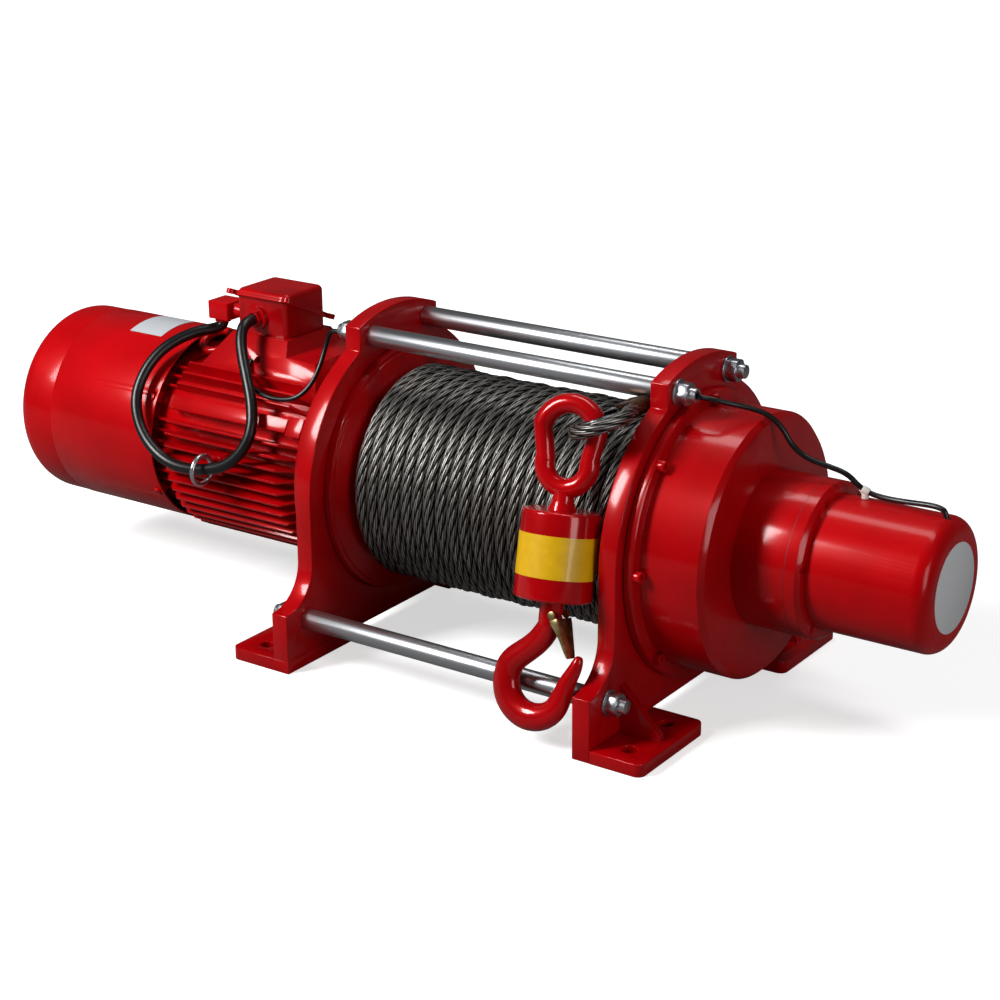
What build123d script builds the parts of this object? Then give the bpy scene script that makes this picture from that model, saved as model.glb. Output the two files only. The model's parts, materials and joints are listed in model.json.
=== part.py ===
from build123d import *
from math import acos, asin, atan2, cos, degrees, hypot, pi, radians, sin, sqrt, tan
import os

# Electric wire rope winch. X runs along the drum, from the motor to the gearbox,
# -Y is the side that the hook hangs on, Z is up and the feet stand on z = 0.
# The origin is midway between the two side plates, at the centre of the foot holes.

# Side plates and feet
axis_height = 195.0
plate_gap = 394.0
plate_thickness = 22.0
plate_radius = 178.0
plate_bore_radius = 152.0
crown_radius = 204.0
crown_half_width = 76.0
foot_half_width = 228.0
foot_length = 135.0
foot_height = 73.0
foot_flare_radius = 50.0
base_thickness = 15.0
base_reach = 65.0
base_corner_radius = 10.0
foot_hole_radius = 9.0
foot_hole_from_plate = 33.0
foot_hole_pitch = 77.0
gusset_height = 55.0
gusset_length = 50.0
gusset_thickness = 10.0

# Tie rods with their nuts
rod_radius = 12.0
rod_end_radius = 8.0
rod_hole_clearance = 0.3
rod_thread_length = 24.0
upper_rod_y = 54.0
upper_rod_rise = 176.0
upper_rod_z = axis_height + upper_rod_rise
lower_rod_from_foot_end = 38.0
lower_rod_y = foot_half_width - lower_rod_from_foot_end
lower_rod_z = 58.0
wire_bore_radius = 4.0
washer_radius = 15.0
washer_thickness = 3.0
nut_flats = 24.0
nut_height = 13.0

# Drum and rope
rope_radius = 8.0
rope_pitch = 16.4
rope_turns = 21
rope_layers = 2
drum_tube_radius = 100.0
drum_wall = 8.0
flange_gap = 0.8
flange_stand_out = 9.0
flange_rim_width = 5.0
flange_dish = 11.0
flange_depth = 20.0
hub_radius = 42.0

# Motor
barrel_radius = 106.0
barrel_wall = 9.0
fin_radius = 128.0
fin_thickness = 3.0
fin_step = 7.0
fin_start_x = -474.0
fin_full_end_x = -292.0
fin_end_x = -272.0
motor_front_x = -262.0
motor_rear_x = -504.0
shield_flange_radius = 156.0
shield_flange_thickness = 20.0
pad_rib_angle = 30.0
pad_rib_width = 17.0
pad_boss_width = 24.0
pad_boss_length = 22.0
pedestal_rise = 144.5
pedestal_top_z = axis_height + pedestal_rise
pedestal_half_width = 42.0
pedestal_foot_half_width = 70.0
pedestal_foot_z = pedestal_top_z - 39.5
ledge_z = pedestal_top_z - 17.5
eye_boss_angle = 0.0
eye_boss_size = 24.0

# Motor cowl and its end cap
cowl_radius = 124.0
cowl_wall = 2.0
cowl_rim_x = -497.0
cowl_seam_x = -672.0
cap_end_x = -740.0
cap_step = 0.6
cap_edge_radius = 28.0
cap_overlap = 12.0
grille_rings = 3
grille_bars = 6
grille_slot = 8.0
grille_pitch = 22.0
grille_bar_width = 10.0

# Terminal box
box_centre_x = -380.5
box_length = 82.0
box_width = 74.0
box_wall = 4.0
box_corner_radius = 9.0
box_bottom_z = pedestal_top_z
lid_front_z = box_bottom_z + 48.5
lid_slope = 24.5
lid_top_z = lid_front_z + 6
lid_flange_thickness = 3.0
lid_flange_margin = 4.0
lid_ear_radius = 5.5
lid_screw_radius = 2.5
gland_radius = 15.5
gland_reach = 5.0
gland_x = -387.0
gland_z = box_bottom_z + 21.5
junction_length = 33.0
junction_width = 34.0
junction_height = 22.0
junction_centre = (-458.0, -14.0, box_bottom_z + 18)
junction_wall = 3.0

# Cables
cable_radius = 7.0
gland_play = 0.3
wire_radius = 3.0

# Shaft line
shaft_radius = 19.0
drive_shaft_radius = 11.0
running_fit = 0.05
stator_length = 130.0
rotor_radius = 58.0
air_gap = 0.6
armature_travel = 0.4

# Gearbox
housing_flange_radius = 165.0
housing_flange_end_x = 231.0
housing_radius = 150.5
housing_end_x = 307.5
housing_wall = 13.0
housing_edge = 6.0
housing_screw_pcd = 315.0
housing_screw_count = 8
housing_screw_head_radius = 6.5
housing_screw_head_height = 8.0
mid_radius = 88.0
mid_end_x = 387.5
mid_wall = 8.0
mid_edge = 5.0
mid_screw_pcd = 158.0
mid_screw_count = 6
mid_screw_head_radius = 5.0
mid_screw_depth = 1.5
mid_screw_shank_radius = 2.5
cap_radius = 75.0
end_cap_end_x = 525.0
end_cap_wall = 3.0
end_cap_edge_radius = 18.0
sun_teeth = 12
first_ring_teeth = 60
second_ring_teeth = 54
first_module = 2.25
second_module = 4.5
first_gear_width = 26.0
second_gear_width = 36.0
first_gear_x = 326.0
second_gear_x = 246.0
pressure_angle = 20.0
gear_backlash = 0.16
planet_count = 3
gear_addendum = 0.8
gear_dedendum = 1.05
carrier_plate = 12.0
first_pin_radius = 9.0
second_pin_radius = 14.0

# Hook block, hung on the rope's end eye and leaning on the rope and the lower rod
rope_eye_centre = (171.2, -131.8, 348.5)
ferrule_centre = (176.0, -80.0, 352.0)
ferrule_length = 28.0
ferrule_wall = 1.6
thimble_radius = 18.6
thimble_wall = 2.5
thimble_width = 15.0
tail_x = 168.0
tail_bend = (168.0, -52.0, 349.3)
tail_end_angle = -100.0
tail_bedding = 0.55
block_eye_centre = (139.5, -147.0, 318.0)
block_lean = 15.5
block_side_lean = 3.0
eye_turn = 10.0
eye_bar_radius = 11.0
eye_top_radius = 33.0
eye_bottom_radius = 26.0
eye_centre_distance = 32.0
eye_to_weight = 66.0
weight_radius = 43.0
weight_length = 96.0
hook_shank_radius = 13.0
hook_thickness = 24.0
hook_bowl_centre = (-11.0, -95.0)
hook_mid_radius = 36.5
hook_root_z = -24.0
hook_neck = ((-2.5, -34.0, 13.2, 12.5), (-11.0, -47.0, 13.6, 12.0))
hook_rounds = ((118, 14.0, 12.0), (150, 15.0, 12.5), (185, 15.5, 13.0), (220, 16.0, 13.0), (255, 16.0, 13.0),
               (290, 15.0, 12.5), (322, 13.0, 11.5), (350, 11.5, 10.0))
hook_nose = ((31.5, -82.5, 9.0, 9.0), (37.0, -71.0, 7.5, 7.5), (40.0, -62.0, 5.8, 5.8), (41.0, -58.4, 4.4, 4.4),
             (41.5, -56.6, 2.2, 2.2))
collar_radius = 19.0
collar_start = 26.0
collar_height = 20.0
latch_pivot = (10.0, -16.0)
latch_root = (18.5, -27.0)
latch_end = (31.5, -60.0)
latch_pin_radius = 3.0
latch_plate = 2.0
latch_width = 12.0
latch_cheek_radius = 5.0


def axial(x):
    """A plane across the drum axis at x; its own x and y run along Y and Z."""
    return Plane((x, 0, axis_height), x_dir=(0, 1, 0), z_dir=(1, 0, 0))


def disc(x0, x1, radius):
    """A cylinder on the drum axis from x0 to x1."""
    return extrude(axial(x0) * Circle(radius), x1 - x0)


def tube(x0, x1, radius, bore):
    """A ring on the drum axis from x0 to x1."""
    return extrude(axial(x0) * (Circle(radius) - Circle(bore)), x1 - x0)


def turned(points):
    """A solid turned about the drum axis from a closed outline of x and radius."""
    outline = Plane.XZ * make_face(Polyline(*points, close=True))
    return Pos(0, 0, axis_height) * revolve(outline, Axis.X)


def rod(start, end, radius):
    """A cylinder between two points."""
    direction = Vector(*end) - Vector(*start)
    return extrude(Plane(start, z_dir=direction) * Circle(radius), direction.length)


def bolt_circle(x, pcd, count, first_angle=90.0):
    """The points of a bolt circle about the drum axis, from its first angle."""
    angles = [radians(first_angle + 360 * i / count) for i in range(count)]
    return [(x, pcd / 2 * cos(a), axis_height + pcd / 2 * sin(a)) for a in angles]


plate_face = plate_gap / 2
plate_outer = plate_face + plate_thickness
rope_depth = rope_radius * 2 + (rope_layers - 1) * rope_radius * sqrt(3)
rope_outer_radius = drum_tube_radius + rope_depth
rope_span = rope_turns * rope_pitch
foot_inner = foot_half_width - foot_length


# Side plates and feet
def plate_outline(bottom_z):
    """Half outlines joined: the round of the drum, the crown and the two flared feet."""
    crown = Circle(crown_radius) & Pos(0, crown_radius / 2) * Rectangle(2 * crown_half_width, crown_radius)
    waist = Pos(0, -axis_height / 2) * Rectangle(2 * plate_radius, axis_height)
    shape = Circle(plate_radius) + crown + waist
    foot_top = foot_height - axis_height
    for side in (-1, 1):
        reach = foot_half_width - plate_radius
        foot = Pos(side * (plate_radius + reach / 2), foot_top - foot_height / 2) * Rectangle(reach, foot_height)
        web = Pos(side * (plate_radius + reach / 2), foot_top + foot_flare_radius / 2)
        flare = web * Rectangle(reach, foot_flare_radius)
        flare -= Pos(side * (plate_radius + foot_flare_radius), foot_top + foot_flare_radius) * Circle(foot_flare_radius)
        shape += foot + flare
    notch = Pos(0, -axis_height + base_thickness / 2) * Rectangle(2 * foot_inner, base_thickness)
    shape -= notch
    if bottom_z > 0:
        shape -= Pos(0, -axis_height + bottom_z / 2) * Rectangle(2 * foot_half_width, bottom_z)
    return shape


def rod_places():
    """The Y and Z of the four tie rods; the first is the hollow one."""
    upper = [(-upper_rod_y, upper_rod_z), (upper_rod_y, upper_rod_z)]
    return upper + [(-lower_rod_y, lower_rod_z), (lower_rod_y, lower_rod_z)]


def side_plate(x, bottom_z):
    shape = plate_outline(bottom_z) - Circle(plate_bore_radius)
    for y, z in rod_places():
        shape -= Pos(y, z - axis_height) * Circle(rod_end_radius + rod_hole_clearance)
    return extrude(axial(x) * shape, plate_thickness)


def foot(side, y_sign):
    """A base plate with two holes and the gusset that stiffens the side plate."""
    inner_x = plate_face if side < 0 else plate_outer
    outer_x = plate_outer + base_reach
    y_mid = y_sign * (foot_inner + foot_length / 2)
    plan = Rectangle(outer_x - inner_x, foot_length)
    base = extrude(Pos(side * (inner_x + outer_x) / 2, y_mid) * plan, base_thickness)
    corners = base.edges().filter_by(Axis.Z).group_by(Axis.X)[0 if side < 0 else -1]
    base = fillet(corners, base_corner_radius)
    hole_x = side * (plate_outer + foot_hole_from_plate)
    for shift in (-foot_hole_pitch / 2, foot_hole_pitch / 2):
        base -= Pos(hole_x, y_mid + shift, 0) * Cylinder(foot_hole_radius, 4 * base_thickness)
    heel = Polyline((side * plate_outer, base_thickness), (side * (plate_outer + gusset_length), base_thickness),
                    (side * (plate_outer + gusset_length), base_thickness + gusset_thickness / 2),
                    (side * plate_outer, base_thickness + gusset_height), close=True)
    web = extrude(Plane.XZ.offset(-y_mid) * make_face(heel), gusset_thickness / 2, both=True)
    return base + web


def tie_rod(y, z, hollow):
    end_x = plate_outer + rod_thread_length
    body = rod((-plate_face, y, z), (plate_face, y, z), rod_radius)
    body += rod((-end_x, y, z), (end_x, y, z), rod_end_radius)
    if hollow:
        body -= rod((-end_x - 1, y, z), (end_x + 1, y, z), wire_bore_radius)
    return body


def rod_fastener(side, y, z):
    """A washer and a hexagon nut on a tie rod's end, outside the side plate."""
    face = side * plate_outer
    seat = face + side * washer_thickness
    hole = Circle(rod_end_radius + rod_hole_clearance / 2)
    spot = Plane((face, y, z), x_dir=(0, 1, 0), z_dir=(side, 0, 0))
    washer = extrude(spot * (Circle(washer_radius) - hole), washer_thickness)
    nut_plane = Plane((seat, y, z), x_dir=(0, 1, 0), z_dir=(side, 0, 0))
    hexagon = RegularPolygon(nut_flats / 2, 6, major_radius=False)
    nut = extrude(nut_plane * (hexagon - hole), nut_height)
    crowned = extrude(nut_plane * Circle(nut_flats / 2 * 1.1), nut_height)
    return [washer, nut & crowned]


# Drum and rope
def drum():
    """The rope tube between two dished flanges that turn inside the side plates' bores."""
    rim_x = plate_face - flange_stand_out
    root_x = rim_x - flange_dish
    back_x = rim_x + flange_depth
    edge = plate_bore_radius - flange_gap
    rim = edge - flange_rim_width
    bore = drum_tube_radius - drum_wall
    web_x = back_x - drum_wall
    half = [(root_x, drum_tube_radius), (rim_x - 2, rim), (rim_x, rim), (rim_x, edge), (back_x, edge)]
    right = half + [(back_x, hub_radius), (web_x, hub_radius), (web_x, bore)]
    seat = drum_bearing_size[1]
    hub_end = drum_bearing_x + drum_bearing_size[2]
    left = [(-x, r) for x, r in half] + [(-back_x, seat), (hub_end, seat), (hub_end, seat - 5),
                                         (hub_end + 4, seat - 5), (hub_end + 4, seat + 12), (-web_x, seat + 12), (-web_x, bore)]
    return turned(right + list(reversed(left)))


def rope_winding():
    """The wound rope as one solid: a scallop for each turn of the outer layer."""
    start = -rope_span / 2
    crest = rope_outer_radius
    valley = crest - rope_radius * 0.45
    shoulder = crest - rope_radius * 0.1
    points = [(start, drum_tube_radius), (start, valley)]
    for i in range(rope_turns):
        x = start + i * rope_pitch
        points.append((x + rope_pitch * 0.3, shoulder))
        points.append((x + rope_pitch * 0.5, crest))
        points.append((x + rope_pitch * 0.7, shoulder))
        points.append((x + rope_pitch, valley))
    points.append((-start, drum_tube_radius))
    return turned(points)


# Bearings, each as one ring with shallow face grooves
motor_bearing = (shaft_radius, 36.0, 17.0)
drum_bearing_size = (30.0, 45.0, 16.0)
output_bearing_size = (45.0, 62.5, 16.0)
input_bearing_size = (10.0, 21.0, 12.0)
bearing_groove = 1.5


def bearing(x, size):
    """A ball bearing's rings and shield as one turned solid, starting at x."""
    bore, outer, width = size
    mid = (bore + outer) / 2
    half = (outer - bore) / 5
    points = [(x, bore + running_fit), (x, mid - half), (x + bearing_groove, mid - half),
              (x + bearing_groove, mid + half), (x, mid + half), (x, outer), (x + width, outer),
              (x + width, mid + half), (x + width - bearing_groove, mid + half),
              (x + width - bearing_groove, mid - half), (x + width, mid - half), (x + width, bore + running_fit)]
    return turned(points)


rear_bearing_x = motor_rear_x + 1
front_bearing_x = motor_front_x + 4
drum_bearing_x = -plate_face + flange_stand_out - flange_depth + 2
output_bearing_x = plate_outer + 2
stub_radius = 14.0
sleeve_radius = 20.0
coupling_x = motor_front_x + 26
coupling_depth = 30.0


# Motor
def fin_outline():
    """A fin in x and radius: low under the cowl, full on the barrel, sloped at the drive end."""
    root = barrel_radius - 2
    low = barrel_radius + 8
    return [(motor_rear_x, root), (motor_rear_x, low), (fin_start_x - 6, low), (fin_start_x - 2, fin_radius - 5),
            (fin_start_x + 3, fin_radius), (fin_full_end_x, fin_radius), (fin_end_x, barrel_radius + 6), (fin_end_x, root)]


def around(angle, width, outline):
    """A bar of a given width standing on the barrel at an angle above the front."""
    bar = extrude(Plane.XZ * make_face(Polyline(*outline, close=True)), width / 2, both=True)
    return Pos(0, 0, axis_height) * Rot(90 - angle, 0, 0) * bar


def fin_angles():
    """The fins of one side, above the pad rib and from below it to the bottom."""
    above = [pad_rib_angle + 11.0 + fin_step * i for i in range(3)]
    count = int((90.0 + pad_rib_angle - 11.5) / fin_step)
    below = [pad_rib_angle - 11.5 - fin_step * i for i in range(count + 1)]
    return above + below


def pedestal():
    """The raised seat of the terminal box, sloped in front, with a lower ledge beside it."""
    left = box_centre_x - box_length / 2
    right = box_centre_x + box_length / 2
    side_view = Polyline((left - 32, pedestal_foot_z), (left - 3, pedestal_top_z), (right + 3, pedestal_top_z),
                         (right + 10, ledge_z), (fin_full_end_x + 8, ledge_z), (fin_full_end_x + 20, pedestal_foot_z),
                         (fin_full_end_x + 20, axis_height + 70), (left - 32, axis_height + 70), close=True)
    end_view = Polyline((-pedestal_foot_half_width, pedestal_foot_z), (-pedestal_half_width, pedestal_top_z),
                        (pedestal_half_width, pedestal_top_z), (pedestal_foot_half_width, pedestal_foot_z),
                        (pedestal_foot_half_width, axis_height + 70), (-pedestal_foot_half_width, axis_height + 70),
                        close=True)
    along = extrude(Plane.XZ * make_face(side_view), 2 * pedestal_foot_half_width, both=True)
    across = extrude(Plane.YZ.offset(motor_rear_x) * make_face(end_view), motor_front_x - motor_rear_x)
    return along & across


cable_eye_place = (-388.0, -150.5, axis_height)
cable_eye_radius = 17.5
cable_eye_bar = 3.2
lifting_eye_place = (-471.0, -18.0, pedestal_foot_z + 14)
lifting_eye_radius = 20.0
lifting_eye_bar = 5.0
lifting_eye_tilt = 25.0
eye_screw_depth = 10.0


def motor_frame():
    """The finned barrel with its pedestal, pad ribs, bosses and the seat of the cable eye."""
    body = disc(motor_rear_x, motor_front_x, barrel_radius)
    root = barrel_radius - 2
    rib_end = fin_full_end_x + 4
    rib = [(fin_start_x, root), (fin_start_x, fin_radius - 3), (rib_end, fin_radius - 3), (rib_end, root)]
    boss_end = rib_end + 4 + pad_boss_length
    boss = [(rib_end + 4, root), (rib_end + 4, fin_radius), (boss_end, fin_radius), (boss_end, root)]
    seat_low = cable_eye_place[0] - eye_boss_size / 2
    seat_high = cable_eye_place[0] + eye_boss_size / 2
    seat = [(seat_low, root), (seat_low, fin_radius + 1), (seat_high, fin_radius + 1), (seat_high, root)]
    bars = [around(eye_boss_angle, eye_boss_size, seat)]
    for rear in (False, True):
        for angle in fin_angles():
            bars.append(around(180 - angle if rear else angle, fin_thickness, fin_outline()))
        pad_angle = 180 - pad_rib_angle if rear else pad_rib_angle
        bars.append(around(pad_angle, pad_rib_width, rib))
        bars.append(around(pad_angle, pad_boss_width, boss))
    body = body + bars + pedestal()
    body -= disc(motor_rear_x - 1, motor_front_x + 1, barrel_radius - barrel_wall)
    x, y, z = cable_eye_place
    body -= rod((x, -fin_radius - 5, z), (x, -fin_radius + eye_screw_depth, z), cable_eye_bar + running_fit)
    x, y, z = lifting_eye_place
    pedestal_side = box_centre_x - box_length / 2 - 3
    body -= rod((x, y, z), (pedestal_side, y, z), lifting_eye_bar + running_fit)
    body -= Pos(box_centre_x, 0, pedestal_top_z) * Box(box_length / 2, box_width / 3, 2 * pedestal_foot_half_width)
    grommet = wire_start()
    return body - rod((grommet[0], grommet[1] - 6, grommet[2]), (grommet[0], grommet[1] + 14, grommet[2]),
                      wire_radius + 1.5)


def wire_start():
    """Where the thin wire leaves the pedestal's sloped front."""
    z = pedestal_foot_z + 14
    slope = (pedestal_foot_half_width - pedestal_half_width) / (pedestal_top_z - pedestal_foot_z)
    return (-371.0, -pedestal_half_width - (pedestal_top_z - z) * slope, z)


def drive_end_shield():
    """The shield between motor and side plate: flange, bearing seat and the drum bearing's nose."""
    spigot = barrel_radius - barrel_wall - running_fit
    flange_x = -plate_outer - shield_flange_thickness
    seat = motor_bearing[1]
    seat_end = front_bearing_x + motor_bearing[2]
    bore = sleeve_radius + 2
    nose_end = drum_bearing_x + drum_bearing_size[2]
    nose = drum_bearing_size[0]
    return turned([(motor_front_x - 6, spigot), (motor_front_x, spigot), (motor_front_x, barrel_radius + 4),
                   (flange_x, barrel_radius + 8), (flange_x, shield_flange_radius), (-plate_outer, shield_flange_radius),
                   (-plate_outer, nose + 12), (-plate_outer + 3, nose + 12), (drum_bearing_x, nose + 4),
                   (drum_bearing_x, nose), (nose_end, nose), (nose_end, bore), (seat_end, bore), (seat_end, seat),
                   (front_bearing_x, seat), (front_bearing_x, seat + 8), (flange_x - 4, seat + 8),
                   (flange_x - 4, spigot - 8), (motor_front_x - 6, spigot - 8)])


def rear_end_shield():
    """The rear shield: a web with the bearing hub and four lugs that the cowl is screwed to."""
    spigot = barrel_radius - barrel_wall - running_fit
    seat = motor_bearing[1]
    face = motor_rear_x - 8
    hub_end = rear_bearing_x + motor_bearing[2]
    body = turned([(face, shaft_radius + 4), (face, barrel_radius), (motor_rear_x, barrel_radius),
                   (motor_rear_x, spigot), (motor_rear_x + 5, spigot), (motor_rear_x + 5, seat + 10), (hub_end, seat + 6),
                   (hub_end, seat), (rear_bearing_x, seat), (rear_bearing_x, shaft_radius + 4)])
    inner = cowl_radius - cowl_wall
    for angle in (32, 148, -32, -148):
        lug = Pos(face + 4, 0, (barrel_radius + inner) / 2 - 2) * Box(8, 14, inner - barrel_radius + 4)
        body += Pos(0, 0, axis_height) * Rot(90 - angle, 0, 0) * lug
    return body & disc(face - 1, motor_front_x, inner - running_fit)


stator_bore = rotor_radius + air_gap
stator_x = (motor_rear_x + motor_front_x) / 2 - stator_length / 2
winding_length = 30.0


def stator_core():
    return tube(stator_x, stator_x + stator_length, barrel_radius - barrel_wall - running_fit, stator_bore)


def stator_windings():
    """The end turns that stand out of the core on both sides."""
    inner, outer = stator_bore + 6, barrel_radius - barrel_wall - 10
    turns = []
    for x0, x1 in ((stator_x - winding_length, stator_x), (stator_x + stator_length, stator_x + stator_length + winding_length)):
        edge = 4.0
        turns.append(turned([(x0, inner + edge), (x0, outer - edge), (x0 + edge, outer), (x1 - edge, outer),
                             (x1, outer - edge), (x1, inner + edge), (x1 - edge, inner), (x0 + edge, inner)]))
    return turns


def rotor_core():
    """The laminated rotor with its cast end rings and stub vanes."""
    x1 = stator_x + stator_length
    body = tube(stator_x, x1, rotor_radius, shaft_radius)
    body += tube(stator_x - 8, x1 + 8, rotor_radius - 3, rotor_radius - 16)
    return body


brake_x = motor_rear_x - 8
disc_thickness = 8.0
armature_thickness = 6.0
coil_thickness = 34.0
brake_radius = 70.0
face_gap = 0.1


def armature_x():
    """The armature plate's near face, pressed towards the brake disc."""
    return brake_x - disc_thickness - 2 * face_gap


def brake_disc():
    x = brake_x - face_gap
    body = tube(x - disc_thickness, x, brake_radius - 4, shaft_radius)
    return body + tube(x - disc_thickness - 12, x, shaft_radius + 8, shaft_radius)


def brake_armature():
    x = armature_x()
    return tube(x - armature_thickness, x, brake_radius, shaft_radius + 11)


def brake_coil():
    """The brake magnet with the three studs that hold it off the rear shield."""
    x = armature_x() - armature_thickness - armature_travel - face_gap
    body = tube(x - coil_thickness, x, brake_radius + 10, shaft_radius + 11)
    for point in bolt_circle(x, 2 * (brake_radius + 5), 3):
        body += rod(point, (brake_x, point[1], point[2]), 4)
    return body


shaft_rear_x = -700.0
fan_x = -688.0
fan_hub_length = 36.0
fan_blades = 7
fan_shaft_radius = 15.0


def motor_shaft():
    rear_step = armature_x() - armature_thickness - coil_thickness - 4
    return turned([(shaft_rear_x, 0), (shaft_rear_x, fan_shaft_radius), (rear_step, fan_shaft_radius),
                   (rear_step, shaft_radius), (coupling_x, shaft_radius), (coupling_x, stub_radius),
                   (coupling_x + coupling_depth, stub_radius), (coupling_x + coupling_depth, 0)])


def cooling_fan():
    """A radial fan on the shaft's rear end, with straight blades on a back disc."""
    reach = cowl_radius - cowl_wall - 16
    body = tube(fan_x, fan_x + fan_hub_length, 28, fan_shaft_radius)
    body += tube(fan_x + fan_hub_length - 4, fan_x + fan_hub_length, 70, fan_shaft_radius)
    for i in range(fan_blades):
        blade = Pos(fan_x + fan_hub_length / 2, 0, 20 + (reach - 20) / 2) * Box(fan_hub_length, 4, reach - 20)
        body += Pos(0, 0, axis_height) * Rot(360 * i / fan_blades, 0, 0) * (blade - Rot(0, 90, 0) * Cylinder(20, 3000))
    return body - disc(fan_x - 1, fan_x + fan_hub_length + 1, fan_shaft_radius)


def fan_cowl():
    body = tube(cowl_seam_x, cowl_rim_x, cowl_radius, cowl_radius - cowl_wall)
    for angle in (32, 148, -32, -148):
        slot = Pos(brake_x + 8, 0, cowl_radius) * Box(7, 5, 6 * cowl_wall)
        body -= Pos(0, 0, axis_height) * Rot(90 - angle, 0, 0) * slot
    return body


def cowl_cap():
    """The pressed end cap: a spigot in the cowl, a rounded edge and the air grille in its end."""
    outer = cowl_radius - cap_step
    spigot = cowl_radius - cowl_wall - running_fit
    inner = spigot - cowl_wall
    r = cap_edge_radius
    s = r * (1 - sqrt(0.5))
    skin = Polyline((cowl_seam_x + cap_overlap, spigot), (cowl_seam_x, spigot), (cowl_seam_x, outer),
                    (cap_end_x + r, outer))
    bend = ThreePointArc((cap_end_x + r, outer), (cap_end_x + s, outer - s), (cap_end_x, outer - r))
    end = Polyline((cap_end_x, outer - r), (cap_end_x, 0), (cap_end_x + cowl_wall, 0), (cap_end_x + cowl_wall, outer - r))
    ri = r - cowl_wall
    si = ri * (1 - sqrt(0.5))
    inner_end = outer - cowl_wall
    bend_in = ThreePointArc((cap_end_x + cowl_wall, outer - r), (cap_end_x + cowl_wall + si, inner_end - si),
                            (cap_end_x + r, inner_end))
    back = Polyline((cap_end_x + r, inner_end), (cowl_seam_x - 6, inner_end), (cowl_seam_x, inner),
                    (cowl_seam_x + cap_overlap, inner), (cowl_seam_x + cap_overlap, spigot))
    outline = Plane.XZ * make_face(Wire([*skin.edges(), bend, *end.edges(), bend_in, *back.edges()]))
    body = Pos(0, 0, axis_height) * revolve(outline, Axis.X)
    for ring in range(grille_rings):
        radius = grille_pitch * (ring + 1)
        slots = tube(cap_end_x - 1, cap_end_x + cowl_wall + 1, radius + grille_slot / 2, radius - grille_slot / 2)
        for i in range(grille_bars):
            bar = Pos(cap_end_x, 0, radius) * Box(6 * cowl_wall, grille_bar_width, 2 * grille_slot)
            slots -= Pos(0, 0, axis_height) * Rot(360 * i / grille_bars, 0, 0) * bar
        body -= slots
    return body


# Terminal box
def box_prism(length, width, radius, z0, z1):
    return extrude(Pos(box_centre_x, 0, z0) * RectangleRounded(length, width, radius), z1 - z0)


def lid_plane():
    """The sloped joint between box and lid, high at the front; its origin is at the front wall."""
    front = (box_centre_x, -box_width / 2, lid_front_z)
    return Plane(front, x_dir=(1, 0, 0), z_dir=(0, sin(radians(lid_slope)), cos(radians(lid_slope))))


def lid_flange(above):
    """The rim along the sloped joint with its four screw ears, above or below it."""
    slant = box_width / cos(radians(lid_slope))
    centre = Pos(0, slant / 2)
    plan = centre * RectangleRounded(box_length + 2 * lid_flange_margin, slant + 2 * lid_flange_margin,
                                     box_corner_radius + lid_flange_margin)
    for sx in (-1, 1):
        for sy in (-1, 1):
            plan += centre * Pos(sx * (box_length / 2 + lid_flange_margin), sy * (slant / 2 + lid_flange_margin)) * Circle(lid_ear_radius)
    return extrude(lid_plane() * plan, lid_flange_thickness if above else -lid_flange_thickness)


def terminal_box():
    """The lower box with its floor, wiring hole, cable bosses and sloped rim."""
    body = box_prism(box_length, box_width, box_corner_radius, box_bottom_z, lid_front_z)
    inner = box_prism(box_length - 2 * box_wall, box_width - 2 * box_wall, box_corner_radius - box_wall,
                      box_bottom_z + box_wall, lid_front_z + 1)
    above = split(Box(3000, 3000, 3000), lid_plane(), keep=Keep.TOP)
    boss = rod((gland_x, -box_width / 2 + 1, gland_z), (gland_x, -box_width / 2 - gland_reach, gland_z), gland_radius)
    body = body + boss + lid_flange(False) - inner - above
    body -= rod((gland_x, 0, gland_z), (gland_x, -box_width, gland_z), cable_radius + 4)
    side = box_centre_x - box_length / 2
    body -= rod((side - 1, junction_centre[1], junction_centre[2]), (side + box_wall + 1, junction_centre[1], junction_centre[2]), 6)
    return body - Pos(box_centre_x, 0, box_bottom_z) * Box(box_length / 2, box_width / 3, 4 * box_wall)


def terminal_lid():
    """The wedge-shaped lid, thin in front and deep behind, hollow from below."""
    edge = 7.0
    outer = box_prism(box_length, box_width, box_corner_radius, box_bottom_z, lid_top_z)
    outer = fillet(outer.faces().sort_by(Axis.Z)[-1].edges(), edge)
    inner = box_prism(box_length - 2 * box_wall, box_width - 2 * box_wall, box_corner_radius - box_wall,
                      box_bottom_z, lid_top_z - box_wall)
    below = split(Box(3000, 3000, 3000), lid_plane(), keep=Keep.BOTTOM)
    return outer + lid_flange(True) - inner - below


def terminal_block():
    """The six-pole connection block on the box's floor, over the wiring hole."""
    floor_z = box_bottom_z + box_wall
    body = Pos(box_centre_x, 0, floor_z + 4) * Box(box_length - 2 * box_wall - 16, box_width / 3 + 12, 8)
    for ix in (-1, 0, 1):
        for iy in (-1, 1):
            body += Pos(box_centre_x + ix * 17, iy * 9, floor_z + 12) * Cylinder(3, 10)
    return body


def cable_gland():
    """The sleeve nut that grips the cable in the box's boss, and the one under the small box."""
    face = -box_width / 2 - gland_reach
    bore = cable_radius + gland_play
    nut = extrude(Plane((gland_x, face, gland_z), x_dir=(1, 0, 0), z_dir=(0, -1, 0)) *
                  (RegularPolygon(cable_radius + 4, 6) - Circle(bore)), 5)
    neck = rod((gland_x, face, gland_z), (gland_x, face + gland_reach + box_wall, gland_z), cable_radius + 4 - running_fit)
    neck -= rod((gland_x, face - 1, gland_z), (gland_x, face + 30, gland_z), bore)
    x, y, z = lead_end()
    lower = extrude(Plane((x, y, z), z_dir=(0, 0, -1)) * (RegularPolygon(cable_radius + 4, 6) - Circle(bore)), 5)
    return [nut + neck, lower]


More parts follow.
